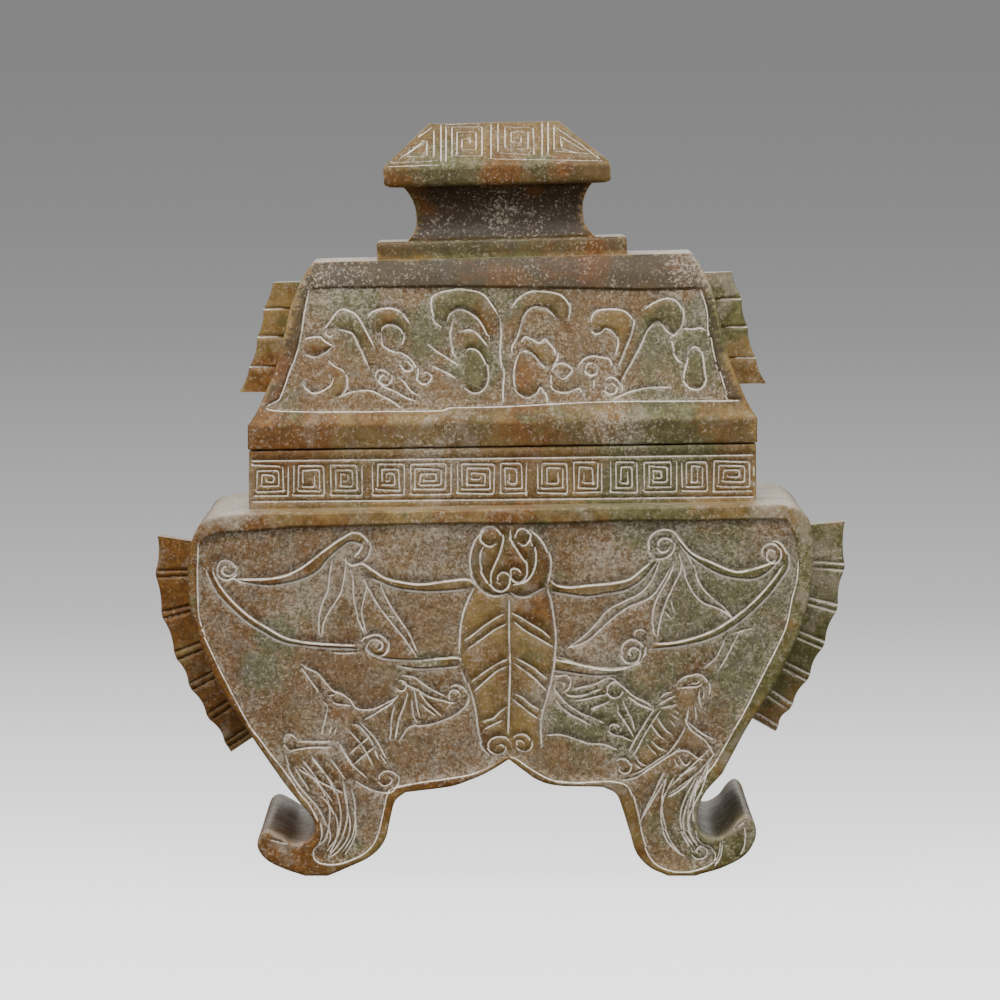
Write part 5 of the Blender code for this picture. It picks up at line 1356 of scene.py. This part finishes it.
levels = lid_levels()
lid_edge = smooth_line(on_wall(LID_EDGE + LID_EDGE[:2], levels), PLAIN_STEP)
lid_shapes = [(smooth_line(on_wall(line, levels), SHAPE_STEP), 0.0012, BAND_LIFT) for line in CLOUD_SHAPES]
lid_front = [(smooth_line(on_wall(line, levels), DRAWN_STEP), *LID_LINE) for line in CLOUDS.values()]
lid_rim_lines = [(smooth_line(on_wall(LID_EDGE[:LID_TOP_EDGE], levels), PLAIN_STEP), *DRY),
                 (smooth_line(on_wall(LID_EDGE[LID_TOP_EDGE - 2:] + LID_EDGE[:2], levels), FRET_STEP), *FINE)]
lid_back = [(smooth_line(on_wall(CLOUDS[f"{letter} {part}"], levels), PLAIN_STEP), *LID_BACK)
            for letter in "ADGP" for part in ("outer", "inner")]
lid_edge_line = [(lid_edge, *DRY)]
# how dark the lid's polish is, from its rim up: rim, sunk panel, border above it
lid_low, lid_high = lid_edge[:, 1].min(), lid_edge[:, 1].max()
lid_bands = (0.0, LID_RIM - 0.0005, LID_RIM + 0.0005, lid_low, lid_low + 0.003, lid_high - 0.003, lid_high)
LID_DARK = (0.45, 0.45, 0.0, 0.0, 0.75, 0.75, 0.85)
LID_GROUND_DARK = 0.28


def lid_relief(strokes, seed):
    """The relief of one of the lid's carved walls, as on the vessel's face."""
    def relief(points):
        depth, ground, marks = sunk_relief(points, lid_edge, lid_shapes, LID_SUNK, strokes, seed)
        dark = (1 - ground) * np.interp(points[:, 1], lid_bands, LID_DARK) + LID_GROUND_DARK * ground
        return depth, np.column_stack([marks, dark])
    return relief


shell = four_walls("shell", levels, 0.0016, 0.0024, {
    (1, -1): (np.vstack([stroke_rows(lid_front), stroke_rows(lid_rim_lines, EDGE_ROWS)]),
              lid_relief(lid_front + lid_rim_lines, 41)),
    (1, 1): (stroke_rows(lid_back + lid_edge_line, PLAIN_ROWS), lid_relief(lid_back + lid_edge_line, 43)),
}, bend_top)

KNOB_BASE = (0.0505, 0.018, 0.0072)         # half width, half depth, height
KNOB_STEM = (0.03375, 0.010)
EAVE = (0.04575, 0.020, 0.0285, 0.0373)     # half width, half depth, underside, upper edge
RIDGE = (0.02575, 0.0015, 0.0545)           # half length, half depth, height
KNOB_LEAN = -0.0036
KNOB_WAIST = 0.42
KNOB_FLARE = 0.36
ROOF_LINES = {
    "left slope": (385, 164, 400, 150, 415, 139, 432, 127),
    "left post": (434, 130, 434, 158),
    "left foot": (388, 166, 440, 164),
    "left nest foot": (390, 162, 434, 160),
    "left nest slope": (400, 158, 425, 140),
    "left nest inner": (407, 154, 427, 140, 427, 155, 407, 156),
    "post one": (441, 120, 441, 162),
    "post two": (446, 125, 446, 162),
    "fret one top": (446, 124, 485, 121),
    "fret one": (452, 157, 452, 126, 482, 126, 482, 155, 457, 155, 457, 131, 476, 131, 476, 149, 462, 149,
                 462, 138, 470, 138, 470, 144),
    "post three": (491, 120, 491, 158),
    "post four": (498, 120, 498, 152),
    "fret two": (505, 127, 505, 148, 528, 148, 528, 131, 511, 131, 511, 142, 521, 142, 521, 136),
    "fret two out": (499, 152, 534, 154, 533, 127, 505, 126),
    "post five": (542, 118, 542, 157),
    "post six": (548, 118, 548, 155),
    "right slope": (554, 125, 578, 141, 600, 158),
    "right post": (554, 125, 554, 150, 590, 153),
    "right nest": (560, 135, 562, 148, 578, 152),
    "right nest slope": (560, 135, 585, 150),
    "right foot": (491, 158, 602, 160),
}
knob_top = LID_BASE + LID_HEIGHT


def knob_levels():
    """Levels of the knob: a stepped foot, a hollow-sided stem, square eaves and a hip roof."""
    wide, deep, high = KNOB_BASE
    rows = [(height, wide, deep) for height in (-0.002, 0.002, 0.004, high - WORN)]
    rows += [(high - WORN * 0.3, wide - WORN * 0.3, deep - WORN * 0.3), (high, wide - WORN, deep - WORN)]
    waist = high + (EAVE[2] - high) * KNOB_WAIST
    for height in np.linspace(high, EAVE[2], 22):
        reach = waist - high if height < waist else EAVE[2] - waist
        spread = KNOB_FLARE * abs((height - waist) / reach) ** 2.5
        rows.append((height + 1e-5, KNOB_STEM[0] + (EAVE[0] - KNOB_STEM[0]) * spread,
                     KNOB_STEM[1] + (EAVE[1] - KNOB_STEM[1]) * spread))
    rows += [(EAVE[2] + 0.0003, EAVE[0] - WORN * 2, EAVE[1] - WORN),
             (EAVE[2] + WORN * 0.9, EAVE[0] - WORN * 0.4, EAVE[1] - WORN * 0.3),
             (EAVE[2] + WORN * 1.6, EAVE[0], EAVE[1])]
    rows += [(height, EAVE[0], EAVE[1]) for height in np.linspace(EAVE[2] + 0.004, EAVE[3] - 0.0007, 4)]
    rise = RIDGE[2] - EAVE[3]
    for share in np.concatenate([[0.02], np.linspace(0.06, 0.97, 14), [1.0]]):
        soften = 0.0002 * (share < 0.05) + 0.0004 * (share == 1.0)
        rows.append((EAVE[3] + rise * share - soften, EAVE[0] + (RIDGE[0] - EAVE[0]) * share,
                     EAVE[1] + (RIDGE[1] - EAVE[1]) * share))
    return np.array(rows) + (knob_top, 0.0, 0.0)


knob_rows = knob_levels()
roof_levels = knob_rows[knob_rows[:, 0] > knob_top + EAVE[3] - 0.001]
roof_foot = profile_length(knob_rows)[len(knob_rows) - len(roof_levels)]
roof_strokes = []
for line in ROOF_LINES.values():
    place = on_wall(line, roof_levels, KNOB_LEAN, knob_top, RIDGE[2])
    roof_strokes.append((spaced(place + (0.0, roof_foot), 0.0008), *FRET))
# how dark the knob's polish is up its profile: on the stem the dark is painted shade under the eaves, with
# dust, and the roof is worn bright
dark_heights = knob_top + np.array([KNOB_BASE[2], KNOB_BASE[2] + 0.0015, EAVE[2] - 0.001, EAVE[2] + 0.001])
dark_lengths = [*profile_length(knob_rows)[np.searchsorted(knob_rows[:, 0], dark_heights)],
                roof_foot - 0.0004, roof_foot]
KNOB_DARK = (0.6, 1.0, 1.0, 0.5, 0.5, 0.1)
ROOF_BARE = 0.4
# dirt and painted shade beside the roof's lines
ROOF_DIRT_AND_SHADE = 0.8


def roof_relief(points):
    """Cut lines of the knob's long slope."""
    cut, chalk, halo = cut_lines(points, roof_strokes)
    dark = np.interp(points[:, 1], dark_lengths, KNOB_DARK)
    bare = np.where(points[:, 1] > roof_foot, ROOF_BARE, 0.0)
    return cut, np.column_stack([chalk, bare, ROOF_DIRT_AND_SHADE * halo ** 3, dark])


def bend_knob(places):
    """Lean the knob to the left, then lift it with the lid."""
    moved = places.copy()
    moved[:, 0] += KNOB_LEAN * np.clip((places[:, 2] - knob_top) / RIDGE[2], 0.0, None)
    return bend_top(moved)


roof_drawing = (stroke_rows(roof_strokes), roof_relief)
knob = four_walls("knob", knob_rows, 0.0007, 0.0022, {(1, -1): roof_drawing, (1, 1): roof_drawing}, bend_knob)

LID_FLANGE = (0.0115, 0.005, 0.006)         # reach, half thickness, root in the lid
LID_FLANGE_TOP_DROP = 0.0086
LID_FLANGE_RIM_GAP = 0.0117
LID_FLANGE_CUTS = (0.245, 0.49, 0.76)       # shares of its length
LID_SCALLOP = 0.0008
LID_FLANGE_CHALK = 0.8


def lid_flange(side, hand):
    """The flange on one side of the lid."""
    heights = np.linspace(knob_top - LID_FLANGE_TOP_DROP, LID_BASE + LID_RIM + LID_FLANGE_RIM_GAP, 24)
    path = np.column_stack([hand * np.interp(heights, levels[:, 0], levels[:, 1]), heights])
    outward = np.tile([hand, 0.0], (len(path), 1))
    cuts = np.hypot(*np.diff(path, axis=0).T).sum() * np.array(LID_FLANGE_CUTS)
    made = flange_block("lid flange " + side, path, outward, *LID_FLANGE, cuts, LID_SCALLOP,
                        LID_FLANGE_CHALK)
    write(made.data.vertices, "co", bend_top(read(made.data.vertices, "co", 3)))
    return made


# height above the lid's lower edge, half width and half depth of the tongue and of the hollow
TONGUE = ((-0.006, 0.0880, 0.0295), (-0.0048, 0.0892, 0.0307), (0.0048, 0.0892, 0.0307))
LID_HOLLOW = ((-0.018, 0.0842, 0.0257), (0.0097, 0.0842, 0.0257), (0.0554, 0.0694, 0.0170),
              (0.0630, 0.0600, 0.0130))
tongue, lid_hollow = [
    hollow_block(name, [(LID_BASE + height, wide, deep) for height, wide, deep in rows], 0.0, bend_top)
    for name, rows in (("tongue", TONGUE), ("lid hollow", LID_HOLLOW))]
lid = carved_from("urn_lid_stone", shell, [knob, lid_flange("left", -1), lid_flange("right", 1), tongue],
                  [lid_hollow])
weather(lid, 51)
lid.data.materials.clear()
lid.data.materials.append(jade("mottled_jade_cover"))
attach(lid, "root")
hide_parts("urn_lid")

# The studio. A sheet runs under the urn and up behind it and glows with painted light, pale in front
# and mid grey above, so that no shadow shows on it; a wide soft light hangs over it and weak ones fill
# from the front, the sides and the back. The camera stands far off with a long lens.

SHEET_HALF = 3.0
SHEET_STEP = 0.05
SHEET_COLUMNS = 9
SHEET_RUN = (-3.2, 0.0, -1.0, 0.0, 0.6, 0.0, 1.4, 0.03, 2.1, 0.16, 2.7, 0.45, 3.1, 0.9, 3.3, 1.6, 3.35, 3.0)
GREYS = ((0.0, "#fdfdfd"), (0.09, "#f2f2f2"), (0.197, "#cdcdcd"), (0.337, "#a8a8a8"), (0.473, "#878787"),
         (0.623, "#717171"), (0.715, "#696969"), (0.822, "#5f5f5f"), (0.886, "#585858"), (1.0, "#515151"))


def painted_glow_backdrop(name):
    """A sheet glowing with painted light, grey by grey along it, so that it shows no shadow."""
    material, tree = new_material(name)
    along = add(tree, "Attribute", attribute_name="along", attribute_type="GEOMETRY").outputs["Fac"]
    share = add(tree, "MapRange", {"Value": along, "From Min": -0.4, "From Max": 2.6})
    ramp = add(tree, "ValToRGB", {"Fac": share})
    stops = ramp.color_ramp.elements
    for place, _ in GREYS[1:-1]:
        stops.new(place)
    for stop, (_, code) in zip(stops, GREYS):
        stop.color = colour(code)
    shader = add(tree, "BsdfPrincipled", {"Base Color": "#5a5a5a", "Roughness": 0.9,
                                          "Specular IOR Level": 0.1, "Emission Color": ramp,
                                          "Emission Strength": 2.35})
    add(tree, "OutputMaterial", {"Surface": shader})
    return material


run = smooth_line(SHEET_RUN, SHEET_STEP)
columns = np.linspace(-SHEET_HALF, SHEET_HALF, SHEET_COLUMNS)
sheet_places = np.stack(np.broadcast_arrays(columns, run[:, :1], run[:, 1:]), axis=-1).reshape(-1, 3)
sheet_data = bpy.data.meshes.new("paper_sweep")
sheet_data.from_pydata(sheet_places.tolist(), [], grid_faces(len(run), SHEET_COLUMNS, False).tolist())
sheet_data.shade_smooth()
along = np.arange(len(run)) * SHEET_STEP + SHEET_RUN[0]
new_attribute(sheet_data, "along", "POINT", np.repeat(along, SHEET_COLUMNS))
sheet = new_object("paper_sweep", sheet_data)
sheet_data.materials.append(painted_glow_backdrop("graded_backlit_acrylic"))
sheet.visible_diffuse = False       # its glow isn't to light the stone from below
sheet.visible_glossy = False

# soft lights: place, what each is turned towards, its width and height, its power in watts
LIGHTS = {
    "overhead": ((-0.15, -0.65, 1.5), (0.0, 0.0, 0.15), (1.3, 1.1), 31.0),
    "front_fill": ((0.2, -2.2, 0.8), (0.0, 0.0, 0.15), (1.6, 1.2), 14.0),
    "left_side": ((-1.4, -0.5, 0.75), (0.0, 0.0, 0.1), (0.8, 0.8), 7.0),
    "right_side": ((1.4, -0.5, 0.75), (0.0, 0.0, 0.1), (0.8, 0.8), 7.0),
    "rear_fill": ((0.0, 1.5, 0.9), (0.0, 0.1, 0.0), (1.8, 0.8), 12.0),
}
for name, (place, aim, size, power) in LIGHTS.items():
    lamp = bpy.data.lights.new(name, "AREA")
    lamp.shape = "RECTANGLE"
    lamp.size, lamp.size_y = size
    lamp.energy = power
    away = np.array(place) - np.array(aim)
    light = new_object(name, lamp)
    light.location = place
    light.rotation_euler = (math.atan2(math.hypot(away[0], away[1]), away[2]), 0.0,
                            math.atan2(away[0], -away[1]))
world = bpy.data.worlds.new("studio")
world.use_nodes = True
air = world.node_tree.nodes["Background"]
air.inputs["Color"].default_value = colour("#c8cacc")
air.inputs["Strength"].default_value = 0.36
bpy.context.scene.world = world

lens = bpy.data.cameras.new("camera")
lens.lens = 214.6
lens.sensor_width = 36.0
camera = new_object("camera", lens)
camera.location = (0.0, -2.419, 0.316)
camera.rotation_euler = (math.radians(90 - 4.03), 0.0, 0.0)
bpy.context.scene.camera = camera
